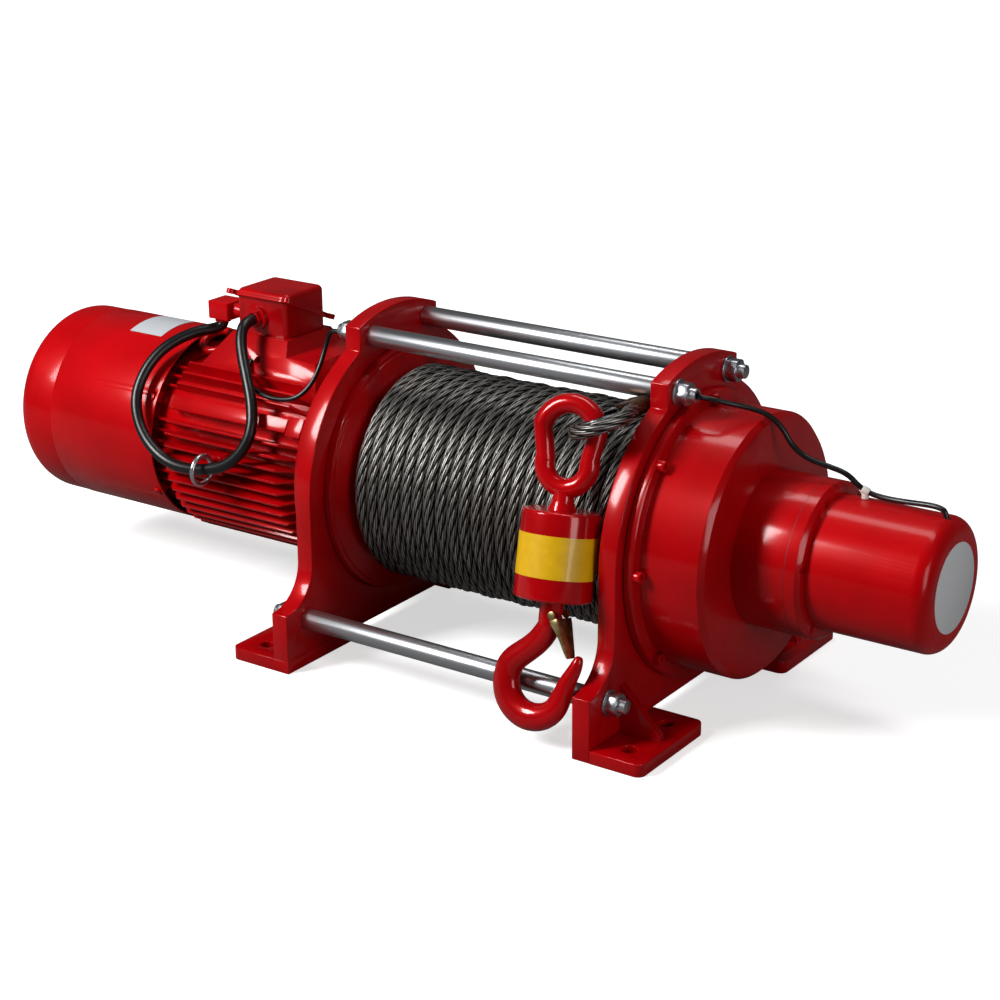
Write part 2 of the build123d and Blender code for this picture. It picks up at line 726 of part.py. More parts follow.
def lead_end():
    """The point under the small box where the heavy lead goes in."""
    return (junction_centre[0] - 4, junction_centre[1] - 2, junction_centre[2] - junction_height / 2)


def junction_box():
    """The small square box beside the terminal box, joined to it by a hollow nipple."""
    x, y, z = junction_centre
    body = Pos(x, y, z) * Box(junction_length, junction_width, junction_height)
    body = fillet(body.edges().filter_by(Axis.Z), 3)
    body -= Pos(x, y, z) * Box(junction_length - 2 * junction_wall, junction_width - 2 * junction_wall,
                               junction_height - 2 * junction_wall)
    side = box_centre_x - box_length / 2
    body += rod((x + junction_length / 2, y, z), (side, y, z), 9)
    body -= rod((x, y, z), (side + 1, y, z), 6)
    ex, ey, ez = lead_end()
    return body - rod((ex, ey, ez - 1), (ex, ey, ez + junction_wall + 1), cable_radius + gland_play)


def ring_eye(plane, radius, bar, shank_end):
    """An eye bolt: a ring in the plane and a shank from its rim along the plane's x."""
    ring = plane * Torus(radius, bar)
    shank = extrude(Plane(plane.from_local_coords((radius, 0, 0)), z_dir=plane.x_dir) * Circle(bar), shank_end - radius)
    return ring + shank


def lifting_eye():
    x, y, z = lifting_eye_place
    tilt = radians(lifting_eye_tilt)
    plane = Plane((x, y, z), x_dir=(1, 0, 0), z_dir=(0, -sin(tilt), cos(tilt)))
    reach = box_centre_x - box_length / 2 - 3 - x - 0.5
    return ring_eye(plane, lifting_eye_radius, lifting_eye_bar, reach)


def cable_eye():
    """The bright ring that carries the loop of the heavy lead, screwed into the barrel's boss."""
    x, y, z = cable_eye_place
    plane = Plane((x, y, z), x_dir=(0, 1, 0), z_dir=(1, 0, 0))
    return ring_eye(plane, cable_eye_radius, cable_eye_bar, -y - fin_radius + eye_screw_depth - 0.3)


# Cables
def corner_radii(points, diameter, name, tight=0.45):
    """Each corner's radius from its two runs and its turn, printed for a check."""
    radii = []
    for before, corner, after in zip(points, points[1:], points[2:]):
        run_in = Vector(*corner) - Vector(*before)
        run_out = Vector(*after) - Vector(*corner)
        half_turn = radians(run_in.get_angle(run_out)) / 2
        radii.append(tight * min(run_in.length, run_out.length) / tan(half_turn))
    print(name, "radii in diameters:", [round(r / diameter, 1) for r in radii])
    return radii


def cord(points, radius, name):
    """A round cord along straight runs joined by tangent arcs."""
    path = FilletPolyline(*points, radius=corner_radii(points, 2 * radius, name))
    start = Plane(path @ 0, z_dir=path % 0)
    return sweep(start * Circle(radius), path)


def lead_route():
    """The heavy lead: out of the gland, down through the ring, round and into the small box."""
    x, y, z = lead_end()
    return [(gland_x, -box_width / 2, gland_z), (gland_x, -61, gland_z), (-383, -75, 346), (-371, -87, 326),
            (-351, -102, 301), (-334, -115, 276), (-325, -128, 250), (-332, -138, 226), (-352, -146, 206),
            (-382, -149, 196), (-414, -149, 191), (-446, -148, 193), (-474, -145, 205), (-497, -140, 225),
            (-512, -131, 250), (-517, -119, 272), (-515, -101, 295), (-507, -82, 312), (-493, -59, 321),
            (-478, -38, 322), (-467, -23, 323.5), (x, y, 333), (x, y, z)]


def wire_route():
    """The thin wire: from the pedestal, through the hollow rod and into the end cap."""
    x, y, z = wire_start()
    rod_end = plate_outer + rod_thread_length
    return [(x, y - 1, z), (x + 3, y - 14, z - 4), (-352, -89, 298), (-330, -97, 289), (-306, -98, 287), (-287, -93, 292),
            (-277, -80, 306), (-273, -67, 325), (-270, -58, 345), (-264, -upper_rod_y, 364),
            (-rod_end - 8, -upper_rod_y - 0.4, upper_rod_z - 0.6), (rod_end + 8, -upper_rod_y + 0.4, upper_rod_z - 0.4),
            (268, -42, 365), (286, -26, 359), (306, -14, 352), (322, -9, 338), (333, -6, 318), (350, -3, 306),
            (374, 0, 301), (395, 3, 296), (408, 6, 283), (421, 9, 276), (440, 9, 274.5), (460, 8, 275.5), (480, 5, 278),
            (499, 3, 279.5), (511, 2, 276), (511, 2, 260)]


# Gears
def gear_outline(teeth, module, inside, phase):
    """An involute outline; for a ring gear (inside) the spaces are widened instead of the teeth thinned."""
    pitch = teeth * module / 2
    base = pitch * cos(radians(pressure_angle))
    top = pitch + module * (gear_dedendum if inside else gear_addendum)
    foot = pitch - module * (gear_addendum if inside else gear_dedendum)
    play = (1 if inside else -1) * gear_backlash / 2 / pitch
    half = pi / (2 * teeth) + play

    def flank_angle(radius):
        if radius <= base:
            return 0.0
        roll = sqrt((radius / base) ** 2 - 1)
        return roll - acos(base / radius)

    at_pitch = flank_angle(pitch)
    points = []
    for tooth in range(teeth):
        centre = radians(phase) + 2 * pi * tooth / teeth
        for side in (-1, 1):
            radii = (foot, pitch, top) if side < 0 else (top, pitch, foot)
            for radius in radii:
                angle = centre + side * (half + at_pitch - flank_angle(radius))
                points.append((radius * cos(angle), radius * sin(angle)))
    return make_face(Polyline(*points, close=True))


def gear(x, width, teeth, module, phase, bore, y=0.0, z=0.0):
    plane = Plane((x, y, axis_height + z), x_dir=(0, 1, 0), z_dir=(1, 0, 0))
    return extrude(plane * (gear_outline(teeth, module, False, phase) - Circle(bore)), width)


def ring_gear(x, width, teeth, module, phase, outer):
    shape = Circle(outer) - gear_outline(teeth, module, True, phase)
    return extrude(axial(x) * shape, width)


def planet_teeth(ring_teeth):
    return (ring_teeth - sun_teeth) // 2


def planet_places(ring_teeth, module):
    """Each planet's angle about the drum axis and its centre there."""
    reach = (sun_teeth + planet_teeth(ring_teeth)) * module / 2
    angles = [90 + 360 * i / planet_count for i in range(planet_count)]
    return [(a, reach * cos(radians(a)), reach * sin(radians(a))) for a in angles]


def planets(x, width, ring_teeth, module, pin):
    """The planets in mesh: a space faces the sun's tooth on the line of centres."""
    teeth = planet_teeth(ring_teeth)
    made = []
    for angle, y, z in planet_places(ring_teeth, module):
        phase = angle + 180 + 180 / teeth
        made.append(gear(x, width, teeth, module, phase, pin + running_fit, y, z))
    return made


def ring_phase(ring_teeth):
    """A ring's space or tooth on the first line of centres, whichever the planet asks for."""
    teeth = planet_teeth(ring_teeth)
    return 90 if teeth % 2 == 1 else 90 + 180 / ring_teeth


carrier_gap = 0.5
journal_radius = output_bearing_size[0]
second_plate_x = second_gear_x + carrier_plate
first_plate_x = 312.0
input_bearing_x = mid_end_x - mid_wall - 14


def drive_shaft():
    """The long shaft through the drum, with a socket at the motor and the first sun at its end."""
    socket_end = coupling_x + coupling_depth + 8
    sun_x = first_gear_x - 1
    step = sun_x + first_gear_width + 4
    body = turned([(coupling_x, stub_radius + 0.02), (coupling_x, sleeve_radius), (socket_end, sleeve_radius),
                   (socket_end, drive_shaft_radius), (step, drive_shaft_radius), (step, input_bearing_size[0]),
                   (mid_end_x + 22, input_bearing_size[0]), (mid_end_x + 22, 0),
                   (coupling_x + coupling_depth + 1, 0), (coupling_x + coupling_depth + 1, stub_radius + 0.02)])
    return body + gear(sun_x, first_gear_width + 2, sun_teeth, first_module, 90, drive_shaft_radius / 2)


def carrier_shape(plate_x, radius, bore, module, ring_teeth, pin, pin_end):
    """A carrier plate with the pins that the planets turn on."""
    body = tube(plate_x, plate_x + carrier_plate - 2, radius, bore)
    for _, y, z in planet_places(ring_teeth, module):
        body += rod((plate_x, y, axis_height + z), (pin_end, y, axis_height + z), pin)
    return body


def second_carrier():
    """The output carrier: its hollow journal runs in the plate's bearing and is bolted to the drum."""
    bore = drive_shaft_radius + 2
    hub_x = plate_face - flange_stand_out + flange_depth
    radius = (sun_teeth + planet_teeth(second_ring_teeth)) * second_module / 2 + second_pin_radius + 5
    body = tube(hub_x, second_gear_x, journal_radius, bore)
    body += tube(hub_x, hub_x + 8, hub_radius + 26, bore)
    pin_end = second_plate_x + second_gear_width + 4
    body += carrier_shape(second_gear_x, radius, bore, second_module, second_ring_teeth, second_pin_radius, pin_end)
    return body


def first_carrier():
    """The first stage's carrier with the second sun cut on its hub."""
    bore = drive_shaft_radius + 1.5
    radius = (sun_teeth + planet_teeth(first_ring_teeth)) * first_module / 2 + first_pin_radius + 5
    body = gear(second_plate_x + 1, first_plate_x - second_plate_x - 1, sun_teeth, second_module, 90, bore)
    return body + carrier_shape(first_plate_x, radius, bore, first_module, first_ring_teeth, first_pin_radius,
                                first_gear_x + first_gear_width + 2)


# Gearbox
def gear_housing():
    """The main housing: bolting flange, bearing wall and a chamfered outer end."""
    bore = housing_radius - housing_wall
    wall_end = output_bearing_x + output_bearing_size[2]
    end_in = housing_end_x - 8
    seat = output_bearing_size[1]
    open_radius = mid_radius - mid_wall
    body = turned([(plate_outer, hub_radius + 30), (plate_outer, housing_flange_radius - 2), (plate_outer + 2, housing_flange_radius),
                   (housing_flange_end_x - 2, housing_flange_radius), (housing_flange_end_x, housing_flange_radius - 2),
                   (housing_flange_end_x, housing_radius), (housing_end_x - housing_edge, housing_radius),
                   (housing_end_x, housing_radius - housing_edge), (housing_end_x, open_radius), (end_in, open_radius),
                   (end_in, bore), (wall_end + 2, bore), (wall_end + 2, seat + 4), (wall_end, seat + 4), (wall_end, seat),
                   (output_bearing_x, seat), (output_bearing_x, seat + 9.4)])
    for point in bolt_circle(plate_outer, housing_screw_pcd, housing_screw_count):
        body -= rod(point, (housing_flange_end_x + 1, point[1], point[2]), 4.2)
    return body


def ring_gears():
    first = ring_gear(first_gear_x, first_gear_width, first_ring_teeth, first_module, ring_phase(first_ring_teeth),
                      mid_radius - mid_wall - running_fit)
    second = ring_gear(second_plate_x, second_gear_width, second_ring_teeth, second_module,
                       ring_phase(second_ring_teeth), housing_radius - housing_wall - running_fit)
    return first, second


def mid_housing():
    """The first stage's housing with its end wall, bearing hub and bolting rim."""
    bore = mid_radius - mid_wall
    end_in = mid_end_x - mid_wall
    seat = input_bearing_size[1]
    body = turned([(housing_end_x, bore), (housing_end_x, mid_radius), (mid_end_x - mid_edge, mid_radius),
                   (mid_end_x, mid_radius - mid_edge), (mid_end_x, input_bearing_size[0] + 2), (end_in, input_bearing_size[0] + 2),
                   (end_in, seat), (input_bearing_x, seat), (input_bearing_x, seat + 7), (end_in, seat + 10), (end_in, bore)])
    for point in bolt_circle(mid_end_x - mid_edge - 1, mid_screw_pcd, mid_screw_count, 50):
        body -= rod(point, (mid_end_x + 1, point[1], point[2]), mid_screw_head_radius + 0.3)
    for point in bolt_circle(mid_end_x - mid_edge - 1 - mid_screw_depth, mid_screw_pcd, mid_screw_count, 50):
        body -= rod(point, (mid_end_x, point[1], point[2]), mid_screw_shank_radius + running_fit)
    return body


def end_cap():
    """The thin round cap over the limit switch, with a soft edge and a wire hole on top."""
    r = end_cap_edge_radius
    s = r * (1 - sqrt(0.5))
    w = end_cap_wall
    ri = r - w
    si = ri * (1 - sqrt(0.5))
    x = end_cap_end_x
    outer = Polyline((mid_end_x, cap_radius - w), (mid_end_x, cap_radius), (x - r, cap_radius))
    bend = ThreePointArc((x - r, cap_radius), (x - s, cap_radius - s), (x, cap_radius - r))
    end = Polyline((x, cap_radius - r), (x, 0), (x - w, 0), (x - w, cap_radius - r))
    bend_in = ThreePointArc((x - w, cap_radius - r), (x - w - si, cap_radius - w - si), (x - r, cap_radius - w))
    back = Line((x - r, cap_radius - w), (mid_end_x, cap_radius - w))
    outline = Plane.XZ * make_face(Wire([*outer.edges(), bend, *end.edges(), bend_in, back]))
    body = Pos(0, 0, axis_height) * revolve(outline, Axis.X)
    hole_x, hole_y, _ = wire_route()[-1]
    return body - rod((hole_x, hole_y, axis_height + 40), (hole_x, hole_y, axis_height + cap_radius + 5), wire_radius + 0.3)


def socket_screw(point, length, head_radius, head_height, shank_radius):
    x, y, z = point
    head = rod((x, y, z), (x + head_height, y, z), head_radius)
    head -= extrude(Plane((x + head_height, y, z), z_dir=(-1, 0, 0)) * RegularPolygon(head_radius / 2, 6), head_height / 2)
    return head + rod((x - length, y, z), (x, y, z), shank_radius)


def housing_screws():
    points = bolt_circle(housing_flange_end_x, housing_screw_pcd, housing_screw_count)
    return [socket_screw(p, housing_flange_end_x - plate_outer, housing_screw_head_radius, housing_screw_head_height, 4)
            for p in points]


def cover_screws():
    """The six screws of the middle housing, their heads let into its rim."""
    points = bolt_circle(mid_end_x - mid_edge - 1, mid_screw_pcd, mid_screw_count, 50)
    return [socket_screw(p, mid_screw_depth, mid_screw_head_radius, mid_edge, mid_screw_shank_radius) for p in points]


def limit_switch():
    """The geared limit switch on the middle housing's end wall, driven by the shaft's end."""
    face = mid_end_x
    body = tube(face, face + 14, 34, 16)
    body += Pos(face + 14 + 24, 0, axis_height) * Box(48, 50, 56)
    body -= disc(face - 1, face + 26, 12)
    for i in range(3):
        body += Pos(face + 24 + 12 * i, 0, axis_height + 31) * Box(8, 30, 6)
    return body


# Rope end and hook block
def block_up():
    lean = tan(radians(block_lean))
    side = -tan(radians(block_side_lean))
    return Vector(side, lean, 1).normalized()


def block_plane(distance=0.0, turn=0.0):
    """The hook block's own frame: origin on its axis, z up along it, x near the drum axis."""
    up = block_up()
    heading = Vector(cos(radians(turn)), sin(radians(turn)), 0)
    x_dir = (heading - up * heading.dot(up)).normalized()
    origin = Vector(*block_eye_centre) - up * distance
    return Plane(origin, x_dir=x_dir, z_dir=up)


def block_eye():
    """The egg-shaped eye with the neck and the shank that goes down into the weight."""
    plane = block_plane(turn=eye_turn)
    slope = asin((eye_top_radius - eye_bottom_radius) / eye_centre_distance)
    top_z = eye_centre_distance / 2
    low_z = -eye_centre_distance / 2
    start = (eye_top_radius * cos(slope), top_z + eye_top_radius * sin(slope))
    low = (eye_bottom_radius * cos(slope), low_z + eye_bottom_radius * sin(slope))
    path = Wire([ThreePointArc(start, (0, top_z + eye_top_radius), (-start[0], start[1])),
                 Line((-start[0], start[1]), (-low[0], low[1])),
                 ThreePointArc((-low[0], low[1]), (0, low_z - eye_bottom_radius), low),
                 Line(low, start)])
    path = Plane.XZ * path
    ring = sweep(Plane(path @ 0, z_dir=path % 0) * Circle(eye_bar_radius), path)
    neck_top = low_z - eye_bottom_radius
    neck = Plane.XZ * make_face(Polyline((0, neck_top + 4), (10, neck_top + 4), (12, neck_top - 14),
                                         (16, -eye_to_weight), (12, -eye_to_weight), (12, -eye_to_weight - 34),
                                         (0, -eye_to_weight - 34), close=True))
    return plane * (ring + revolve(neck, Axis.Z))


def block_weight():
    """The turned weight, bored for the eye's shank above and the hook's swivel below."""
    bottom = -weight_length
    shank = 12 + running_fit
    collar = collar_radius + 1
    outline = [(shank, 0), (weight_radius - 2, 0), (weight_radius, -2), (weight_radius, bottom + 2),
               (weight_radius - 2, bottom), (hook_shank_radius + running_fit, bottom),
               (hook_shank_radius + running_fit, bottom + collar_start), (collar, bottom + collar_start),
               (collar, bottom + 2 * collar_start), (shank, bottom + 2 * collar_start)]
    return block_plane(eye_to_weight) * revolve(Plane.XZ * make_face(Polyline(*outline, close=True)), Axis.Z)


def hook_sections():
    """The forged hook's centre line in its own plane, with the half width and half depth at each place."""
    cx, cz = hook_bowl_centre
    sections = [(0, hook_root_z, hook_shank_radius, hook_shank_radius), *hook_neck]
    for angle, half_width, half_depth in hook_rounds:
        along = radians(angle)
        sections.append((cx + hook_mid_radius * cos(along), cz + hook_mid_radius * sin(along), half_width, half_depth))
    return sections + list(hook_nose)


def hook_body():
    """The bowl and nose lofted through oval sections, each square to the centre line."""
    sections = hook_sections()
    ovals = []
    for i, (x, z, half_width, half_depth) in enumerate(sections):
        before = sections[max(i - 1, 0)]
        after = sections[min(i + 1, len(sections) - 1)]
        along = Vector(after[0] - before[0], 0, after[1] - before[1])
        if i == 0:
            along = Vector(0, 0, -1)
        across = Vector(0, 1, 0).cross(along).normalized()
        ovals.append(Plane((x, 0, z), x_dir=across, z_dir=along) * Ellipse(half_width, half_depth))
    return loft(ovals)


def hook_plane():
    """The hook's frame: its origin is on the block's axis at the weight's lower face."""
    return block_plane(eye_to_weight + weight_length)


def hook():
    body = hook_body()
    body += Pos(0, 0, (hook_root_z + 27) / 2) * Cylinder(hook_shank_radius, 27 - hook_root_z)
    body += Pos(0, 0, collar_height / 2 + collar_start + 0.1) * Cylinder(collar_radius, collar_height)
    x, z = latch_pivot
    body -= Pos(x, 0, z) * Rot(90, 0, 0) * Cylinder(latch_pin_radius + running_fit, 3 * hook_thickness)
    return hook_plane() * body


def latch():
    """The sprung plate across the hook's mouth, its pin and the two cheeks that hold it."""
    x, z = latch_pivot
    sx, sz = latch_root
    tx, tz = latch_end
    cheek_y = hook_thickness / 2 + 1.3
    pin = Pos(x, 0, z) * Rot(90, 0, 0) * Cylinder(latch_pin_radius, 2 * (cheek_y + latch_plate))
    side = make_hull((Pos(x, z) * Circle(latch_cheek_radius)).edges() + (Pos(sx, sz) * Circle(2.5)).edges())
    side += make_hull((Pos(sx, sz) * Circle(2.5)).edges() + (Pos((sx + tx) / 2, (sz + tz) / 2) * Circle(1.2)).edges())
    body = pin
    for y in (-cheek_y - latch_plate, cheek_y):
        body += Pos(0, y + latch_plate, 0) * extrude(Plane.XZ * side, latch_plate)
    bar = make_hull((Pos(sx, sz) * Circle(latch_plate / 2)).edges() + (Pos(tx, tz) * Circle(latch_plate / 2)).edges())
    body += extrude(Plane.XZ * bar, latch_width / 2, both=True)
    bridge = make_hull((Pos(sx, sz) * Circle(latch_plate / 2)).edges()
                       + (Pos((3 * sx + tx) / 4, (3 * sz + tz) / 4) * Circle(latch_plate / 2)).edges())
    body += extrude(Plane.XZ * bridge, cheek_y + latch_plate, both=True)
    return hook_plane() * body


def loop_plane():
    """The rope eye's frame: x points from the eye to the ferrule, z is across the loop."""
    to_ferrule = (Vector(*ferrule_centre) - Vector(*rope_eye_centre)).normalized()
    side = Vector(0.93, 0, 0.36)
    side = (side - to_ferrule * side.dot(to_ferrule)).normalized()
    return Plane(rope_eye_centre, x_dir=to_ferrule, z_dir=to_ferrule.cross(side))


def ferrule_distance():
    return (Vector(*ferrule_centre) - Vector(*rope_eye_centre)).length


def thimble():
    """The pressed liner of the rope eye, drop shaped, with its point at the ferrule."""
    point_x = ferrule_distance() - ferrule_length / 2 - rope_radius - 6
    outer = make_hull(Circle(thimble_radius + thimble_wall).edges() + (Pos(point_x, 0) * Circle(thimble_wall + 0.5)).edges())
    inner = make_hull(Circle(thimble_radius).edges() + (Pos(point_x - 1, 0) * Circle(0.5)).edges())
    body = extrude(outer - inner, thimble_width / 2, both=True)
    rims = [edge for face in body.faces().filter_by(Axis.Z) for wire in face.inner_wires() for edge in wire.edges()]
    return loop_plane() * chamfer(rims, thimble_wall * 0.7)


strand_offset = rope_radius + 0.1


def rope_eye_route():
    """The rope's route in the loop's frame: out of the ferrule, round the thimble and back in."""
    radius = thimble_radius + thimble_wall + rope_radius + 0.1
    face = ferrule_distance() - ferrule_length / 2 - 3
    tangent = atan2(strand_offset, face) + acos(radius / hypot(face, strand_offset))
    step = (pi - tangent) / 4
    reach = radius / cos(step)
    corners = [tangent + step + 2 * step * i for i in range(4)]
    round_thimble = [(reach * cos(a), reach * sin(a)) for a in corners]
    leave = face + 3 + ferrule_length
    ends = [(leave + 1, strand_offset), (face, strand_offset)], [(face, -strand_offset), (leave + 3, -strand_offset)]
    radii = [1.5 * rope_radius * 2] + [0.98 * radius] * 4 + [1.5 * rope_radius * 2]
    return ends[0] + round_thimble + ends[1], radii


def tail_radius():
    return rope_outer_radius + rope_radius - tail_bedding


def tail_contact():
    """Where the rope's last run touches its turn over the winding."""
    y, z = tail_bend[1], tail_bend[2] - axis_height
    angle = atan2(z, y) - acos(tail_radius() / hypot(y, z))
    return (tail_x, tail_radius() * cos(angle), axis_height + tail_radius() * sin(angle))


def rope_tail():
    """The rope's end in one piece: the eye, the run to the drum and the last turn on the winding."""
    route, radii = rope_eye_route()
    plane = loop_plane()
    points = [tuple(plane.from_local_coords((x, y, 0))) for x, y in route] + [tail_bend, tail_contact()]
    free = corner_radii(points, 2 * rope_radius, "rope_tail")
    runs = FilletPolyline(*points, radius=radii + free[len(radii):])
    _, y, z = tail_contact()
    middle = radians((degrees(atan2(z - axis_height, y)) + tail_end_angle) / 2)
    end = radians(tail_end_angle)
    radius = tail_radius()
    arc = ThreePointArc((tail_x, y, z), (tail_x, radius * cos(middle), axis_height + radius * sin(middle)),
                        (tail_x, radius * cos(end), axis_height + radius * sin(end)))
    path = Wire([*runs.edges(), arc])
    return sweep(Plane(runs @ 0, z_dir=runs % 0) * Circle(rope_radius), path)


def ferrule():
    radius = rope_radius + ferrule_wall
    places = [Pos(0, strand_offset) * Circle(radius), Pos(0, -strand_offset) * Circle(radius)]
    outline = make_hull(places[0].edges() + places[1].edges())
    for side in (-1, 1):
        outline -= Pos(0, side * strand_offset) * Circle(rope_radius + 0.02)
    face = ferrule_distance() - ferrule_length / 2
    across = Plane((face, 0, 0), x_dir=(0, 0, 1), z_dir=(1, 0, 0))
    return loop_plane() * extrude(across * outline, ferrule_length)


# Parts and their files
def as_list(shape):
    return list(shape) if isinstance(shape, (list, tuple)) else [shape]


rods = [tie_rod(y, z, i == 0) for i, (y, z) in enumerate(rod_places())]
fasteners = [piece for side in (-1, 1) for y, z in rod_places() for piece in rod_fastener(side, y, z)]
first_ring, second_ring = ring_gears()
first_planets = planets(first_gear_x + 1, first_gear_width - 2, first_ring_teeth, first_module, first_pin_radius)
second_planets = planets(second_plate_x + 1, second_gear_width - 2, second_ring_teeth, second_module, second_pin_radius)
rope_end = rope_tail()
nodes = {
    "left_plate": side_plate(-plate_outer, base_thickness),
    "right_plate": side_plate(plate_face, 0),
    "left_feet": [foot(-1, -1), foot(-1, 1)],
    "right_feet": [foot(1, -1), foot(1, 1)],
    "sensor_rod": rods[0],
    "tie_rods": rods[1:],
    "rod_nuts": fasteners,
    "drum": drum(),
    "rope_winding": rope_winding(),
    "motor_frame": motor_frame(),
    "drive_end_shield": drive_end_shield(),
    "rear_end_shield": rear_end_shield(),
    "stator_core": stator_core(),
    "stator_windings": stator_windings(),
    "fan_cowl": fan_cowl(),
    "cowl_cap": cowl_cap(),
    "terminal_box": terminal_box(),
    "terminal_lid": terminal_lid(),
    "terminal_block": terminal_block(),
    "cable_gland": cable_gland(),
    "junction_box": junction_box(),
    "lifting_eye": lifting_eye(),
    "cable_eye": cable_eye(),
    "motor_cable": cord(lead_route(), cable_radius, "motor_cable"),
    "sensor_wire": cord(wire_route(), wire_radius, "sensor_wire"),
    "motor_shaft": motor_shaft(),
    "rotor_core": rotor_core(),
    "cooling_fan": cooling_fan(),
    "brake_disc": brake_disc(),
    "brake_armature": brake_armature(),
    "brake_coil": brake_coil(),
    "motor_bearings": [bearing(rear_bearing_x, motor_bearing), bearing(front_bearing_x, motor_bearing)],
    "drum_bearing": bearing(drum_bearing_x, drum_bearing_size),
    "output_bearing": bearing(output_bearing_x, output_bearing_size),
    "input_bearing": bearing(input_bearing_x, input_bearing_size),
    "drive_shaft": drive_shaft(),
    "gear_housing": gear_housing(),
    "second_ring_gear": second_ring,
    "cover_housing": mid_housing(),
    "first_ring_gear": first_ring,
    "first_carrier": first_carrier(),
    "second_carrier": second_carrier(),
    "end_cap": end_cap(),
    "housing_screws": housing_screws(),
    "cover_screws": cover_screws(),
    "limit_switch": limit_switch(),
    "rope_tail": rope_end,
    "thimble": thimble(),
    "ferrule": ferrule() - rope_end,
    "block_eye": block_eye(),
    "block_weight": block_weight(),
    "hook": hook(),
    "latch": latch(),
}
for number in range(planet_count):
    nodes[f"first_planet_{number + 1}"] = first_planets[number]
    nodes[f"second_planet_{number + 1}"] = second_planets[number]

os.makedirs("parts", exist_ok=True)
for name, made in nodes.items():
    solids = [solid for shape in as_list(made) for solid in shape.solids()]
    print(name, len(solids))
    export_step(Compound(label=name, children=solids), f"parts/{name}.step")
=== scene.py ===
import bpy
import bmesh
import json
from math import acos, asin, atan2, cos, hypot, pi, radians, sin, sqrt, tan
from mathutils import Matrix, Vector


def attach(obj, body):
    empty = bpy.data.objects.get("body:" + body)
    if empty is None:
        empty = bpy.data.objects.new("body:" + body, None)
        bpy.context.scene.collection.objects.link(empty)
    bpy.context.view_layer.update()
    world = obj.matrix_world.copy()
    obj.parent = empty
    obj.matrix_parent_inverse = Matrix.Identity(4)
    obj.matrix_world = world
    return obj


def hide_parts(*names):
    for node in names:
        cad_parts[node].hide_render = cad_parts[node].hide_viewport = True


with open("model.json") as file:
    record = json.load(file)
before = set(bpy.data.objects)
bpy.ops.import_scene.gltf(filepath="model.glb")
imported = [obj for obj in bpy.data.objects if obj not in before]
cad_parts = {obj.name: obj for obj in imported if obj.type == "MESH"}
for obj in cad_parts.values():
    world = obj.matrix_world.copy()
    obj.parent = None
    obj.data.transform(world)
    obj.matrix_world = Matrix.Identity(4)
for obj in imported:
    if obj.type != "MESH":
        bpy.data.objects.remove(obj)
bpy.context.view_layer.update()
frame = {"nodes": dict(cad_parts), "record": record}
bpy.ops.object.select_all(action="DESELECT")

MM = 0.001
# Every place and length below is in millimetres, unless it says otherwise.
AXIS_HEIGHT = 195.0
# Edges that turn more sharply than this, in degrees, are broken and stay crisp.
CREASE = 38


def photo_camera():
    """The camera at the photograph's viewing angle, its stand in metres."""
    azimuth, elevation, roll = radians(34.76), radians(19.76), radians(-0.39)
    stand = (1.3540, -2.0264, 1.0641)
    back = Vector((sin(azimuth) * cos(elevation), -cos(azimuth) * cos(elevation), sin(elevation)))
    level = Vector((cos(azimuth), sin(azimuth), 0))
    upright = back.cross(level)
    right = level * cos(roll) + upright * sin(roll)
    up = upright * cos(roll) - level * sin(roll)
    turn = Matrix((right, up, back)).transposed().to_4x4()
    data = bpy.data.cameras.new("photo_camera")
    data.lens = 79.41
    data.sensor_width = 36
    data.clip_end = 60
    camera = bpy.data.objects.new("photo_camera", data)
    bpy.context.scene.collection.objects.link(camera)
    camera.matrix_world = Matrix.Translation(stand) @ turn
    bpy.context.scene.camera = camera


# Materials
def shade(code):
    """An sRGB hex colour as linear numbers for a socket."""
    channels = [int(code[i:i + 2], 16) / 255 for i in (1, 3, 5)]
    return [c / 12.92 if c <= 0.04045 else ((c + 0.055) / 1.055) ** 2.4 for c in channels] + [1]


def add_node(tree, kind, settings=None, links=None):
    """A node with its settings, sockets by name or number, and links into it."""
    node = tree.nodes.new(kind)
    for key, value in (settings or {}).items():
        if isinstance(key, str) and hasattr(node, key):
            setattr(node, key, value)
        else:
            node.inputs[key].default_value = value
    for key, source in (links or {}).items():
        tree.links.new(source, node.inputs[key])
    return node


def blank_material(name, colour, roughness, metallic=0.0):
    """A material with its shader, and the tree and object coordinates to build on."""
    material = bpy.data.materials.new(name)
    material.use_nodes = True
    tree = material.node_tree
    shader = tree.nodes["Principled BSDF"]
    shader.inputs["Base Color"].default_value = shade(colour)
    shader.inputs["Roughness"].default_value = roughness
    shader.inputs["Metallic"].default_value = metallic
    place = add_node(tree, "ShaderNodeTexCoord").outputs["Object"]
    return material, tree, shader, place


def stretched(tree, place, scale):
    """Coordinates that draw a pattern out along each axis with a small scale."""
    return add_node(tree, "ShaderNodeMapping", {"Scale": scale}, {"Vector": place}).outputs[0]


def blend_colours(tree, factor, low, high, low_at=0.0, high_at=1.0):
    """A colour between two hex colours, as a pattern goes from low_at to high_at."""
    ramp = add_node(tree, "ShaderNodeValToRGB", None, {0: factor})
    ramp.color_ramp.elements[0].color = shade(low)
    ramp.color_ramp.elements[0].position = low_at
    ramp.color_ramp.elements[1].color = shade(high)
    ramp.color_ramp.elements[1].position = high_at
    return ramp.outputs[0]


def noise(tree, place, scale, detail):
    return add_node(tree, "ShaderNodeTexNoise", {"Scale": scale, "Detail": detail}, {"Vector": place}).outputs[0]


def span(tree, factor, low, high):
    """A pattern of 0 to 1 as a number from low to high."""
    return add_node(tree, "ShaderNodeMapRange", {"To Min": low, "To Max": high}, {0: factor}).outputs[0]


